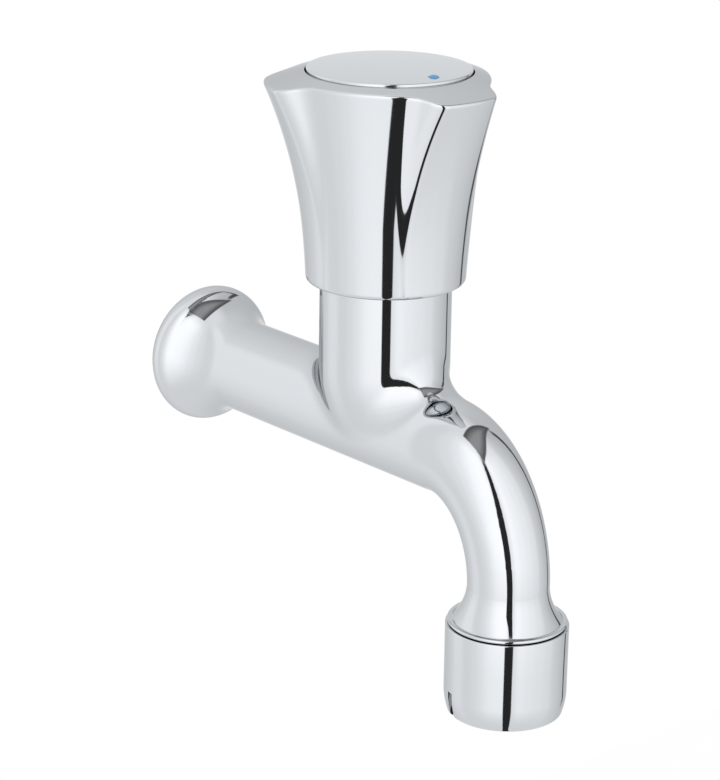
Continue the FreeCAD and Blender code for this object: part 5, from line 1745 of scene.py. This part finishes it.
# the dark gap at the right: angles in degrees
RIGHT_GAP_LIGHT = 0.12
RIGHT_GAP_AZIMUTH = 93.5
RIGHT_GAP_EDGE = (2.0, 3.4)
RIGHT_GAP_TOP = (38.0, 48.0)
RIGHT_GAP_FOOT = (-32.0, -26.0)


def horizon_light(f, azimuth):
    """Brightness round the horizon at an azimuth in degrees."""
    ramp = f.tree.nodes.new("ShaderNodeValToRGB")
    ramp.color_ramp.interpolation = "EASE"
    elements = ramp.color_ramp.elements
    while len(elements) > 1:
        elements.remove(elements[-1])
    for index, (turn, light) in enumerate(HORIZON):
        item = elements[0] if index == 0 else elements.new((turn + 180) / 360)
        item.position = (turn + 180) / 360
        item.color = (light / 2, light / 2, light / 2, 1)
    share = f.math("DIVIDE", f.math("ADD", azimuth, 180.0), 360.0)
    f.tree.links.new(share, ramp.inputs["Fac"])
    parts = f.tree.nodes.new("ShaderNodeSeparateColor")
    f.tree.links.new(ramp.outputs["Color"], parts.inputs[0])
    return f.product(parts.outputs[0], 2.0)


def studio_light(tree):
    """Brightness that polished metal mirrors from a direction: panels, and the dark gaps between them."""
    f = Formula(tree)
    place = tree.nodes.new("ShaderNodeTexCoord")
    split = tree.nodes.new("ShaderNodeSeparateXYZ")
    tree.links.new(place.outputs["Generated"], split.inputs[0])
    x, y, z = split.outputs
    degrees = 180.0 / math.pi
    azimuth = f.product(f.math("ARCTAN2", x, f.product(y, -1.0)), degrees)
    height = f.product(f.math("ARCSINE", z), degrees)
    level = horizon_light(f, azimuth)
    level = f.mix(f.fade(height, *BELOW_FADE), level, BELOW_LIGHT)
    level = f.mix(f.ramp(height, *ABOVE_RAMP), level, ABOVE_LIGHT)
    # gap at the camera: a dark upright strip
    lean = f.product(f.math("MAXIMUM", f.math("SUBTRACT", height, STRIP_LEANS_ABOVE), 0.0), STRIP_LEAN)
    off = f.math("ABSOLUTE", f.math("SUBTRACT", azimuth, f.math("ADD", STRIP_AZIMUTH, lean)))
    half = f.math("SUBTRACT", STRIP_HALF, f.product(f.ramp(height, *STRIP_NARROWS_AT), STRIP_NARROWS))
    strip = f.product(f.fade(f.math("SUBTRACT", off, half), *STRIP_EDGE), f.fade(height, *STRIP_END))
    # gap overhead, between the front right panel and the back
    front = f.along((x, y, z), WEDGE_FRONT)
    front = f.math("SUBTRACT", front, f.product(f.ramp(x, *WEDGE_SHIFTS_AT), WEDGE_SHIFT))
    back = f.along((x, y, z), WEDGE_BACK)
    wedge = f.product(f.ramp(front, *WEDGE_FRONT_EDGE), f.fade(back, *WEDGE_BACK_EDGE))
    wedge = f.product(wedge, f.ramp(x, *WEDGE_LEFT), f.ramp(z, *WEDGE_LOW))
    inner = f.math("MINIMUM", front, f.product(back, -1.0))
    grey = f.math("ADD", WEDGE_LIGHT, f.product(f.ramp(inner, *WEDGE_INNER_RAMP), WEDGE_INNER_LIGHT))
    # gap at the right, between the same two
    side = f.math("ABSOLUTE", f.math("SUBTRACT", azimuth, RIGHT_GAP_AZIMUTH))
    side = f.product(f.fade(side, *RIGHT_GAP_EDGE), f.fade(height, *RIGHT_GAP_TOP))
    side = f.product(side, f.ramp(height, *RIGHT_GAP_FOOT))
    level = f.mix(wedge, level, grey)
    level = f.mix(side, level, RIGHT_GAP_LIGHT)
    return f.mix(strip, level, STRIP_LIGHT)


DIFFUSE_LIGHT = 0.85
MIRRORED_TINT = (0.985, 0.995, 1.0, 1)


def build_world(scene):
    """White surroundings: plain for the camera and for diffuse light, the studio's panels in mirrors."""
    world = bpy.data.worlds.new("studio")
    scene.world = world
    tree, surface = empty_tree(world, "ShaderNodeOutputWorld")
    plain = node(tree, "ShaderNodeBackground", Color=WHITE, Strength=DIFFUSE_LIGHT).outputs[0]
    seen = node(tree, "ShaderNodeBackground", Color=WHITE, Strength=1.0).outputs[0]
    mirrored = node(tree, "ShaderNodeBackground", Color=MIRRORED_TINT)
    tree.links.new(studio_light(tree), mirrored.inputs["Strength"])
    rays = tree.nodes.new("ShaderNodeLightPath").outputs
    light = mixed(tree, rays["Is Camera Ray"], plain, seen)
    light = mixed(tree, rays["Is Transmission Ray"], light, seen)
    light = mixed(tree, rays["Is Glossy Ray"], light, mirrored.outputs[0])
    tree.links.new(light, surface)


KEY_PLACE = (-0.5, -0.6, 0.8)
KEY_TARGET = (0, -0.06, 0)


def build_lamps():
    """One large soft lamp that mirrors don't show."""
    lamp = bpy.data.lights.new("soft_key", "AREA")
    lamp.energy = 2.0
    lamp.size = 0.6
    lamp.specular_factor = 0.0
    key = bpy.data.objects.new("soft_key", lamp)
    key.location = KEY_PLACE
    key.rotation_euler = (Vector(KEY_TARGET) - Vector(KEY_PLACE)).to_track_quat("-Z", "Y").to_euler()
    key.visible_glossy = False
    bpy.context.scene.collection.objects.link(key)


# the photograph's camera, fitted to the tap's circles
CAMERA_PLACE = (-0.38708, -0.50821, 0.20397)
CAMERA_TARGET = (-0.00276, -0.06480, 0.00644)
CAMERA_ROLL = math.radians(0.828)
CAMERA_FOCUS = 2681.66  # focal length and the picture's longer side, in pixels
IMAGE_HEIGHT = 780


def build_camera(scene):
    """The photograph's camera, turned by its small roll."""
    data = bpy.data.cameras.new("camera")
    data.sensor_width = 36.0
    data.lens = CAMERA_FOCUS * data.sensor_width / IMAGE_HEIGHT
    data.clip_start = 0.01
    camera = bpy.data.objects.new("camera", data)
    place = Vector(CAMERA_PLACE)
    back = (place - Vector(CAMERA_TARGET)).normalized()
    right = Vector((0, 0, 1)).cross(back).normalized()
    up = back.cross(right)
    c, s = math.cos(CAMERA_ROLL), math.sin(CAMERA_ROLL)
    x = right * c + up * s
    y = up * c - right * s
    camera.matrix_world = Matrix.Translation(place) @ Matrix((x, y, back)).transposed().to_4x4()
    scene.collection.objects.link(camera)
    scene.camera = camera
    scene.view_settings.view_transform = "Standard"


class TAP_PT_panel(bpy.types.Panel):
    """Sizes, colours and pieces of the tap"""

    bl_label = "Water tap"
    bl_idname = "TAP_PT_panel"
    bl_space_type = "VIEW_3D"
    bl_region_type = "UI"
    bl_category = "Water tap"

    def draw(self, context):
        for operator in OPERATORS:
            self.layout.operator(operator.bl_idname)
        for name, group in GROUPS:
            box = self.layout.box()
            box.label(text=group.__doc__)
            for key in group.__annotations__:
                box.prop(getattr(context.scene, name), key)


OPERATORS = (
    TAP_OT_inner_parts, TAP_OT_body, TAP_OT_handle, TAP_OT_cap, TAP_OT_outlet, TAP_OT_inlet, TAP_OT_studio,
)


def register():
    for name, group in GROUPS:
        bpy.utils.register_class(group)
        setattr(bpy.types.Scene, name, PointerProperty(type=group))
    for operator in OPERATORS:
        bpy.utils.register_class(operator)
    bpy.utils.register_class(TAP_PT_panel)


def unregister():
    bpy.utils.unregister_class(TAP_PT_panel)
    for operator in reversed(OPERATORS):
        bpy.utils.unregister_class(operator)
    for name, group in reversed(GROUPS):
        delattr(bpy.types.Scene, name)
        bpy.utils.unregister_class(group)


def main():
    register()
    bpy.ops.tap.inner_parts()
    bpy.ops.tap.body()
    bpy.ops.tap.handle()
    bpy.ops.tap.cap()
    bpy.ops.tap.outlet()
    bpy.ops.tap.inlet()
    bpy.ops.tap.studio()


if __name__ == "__main__":
    main()
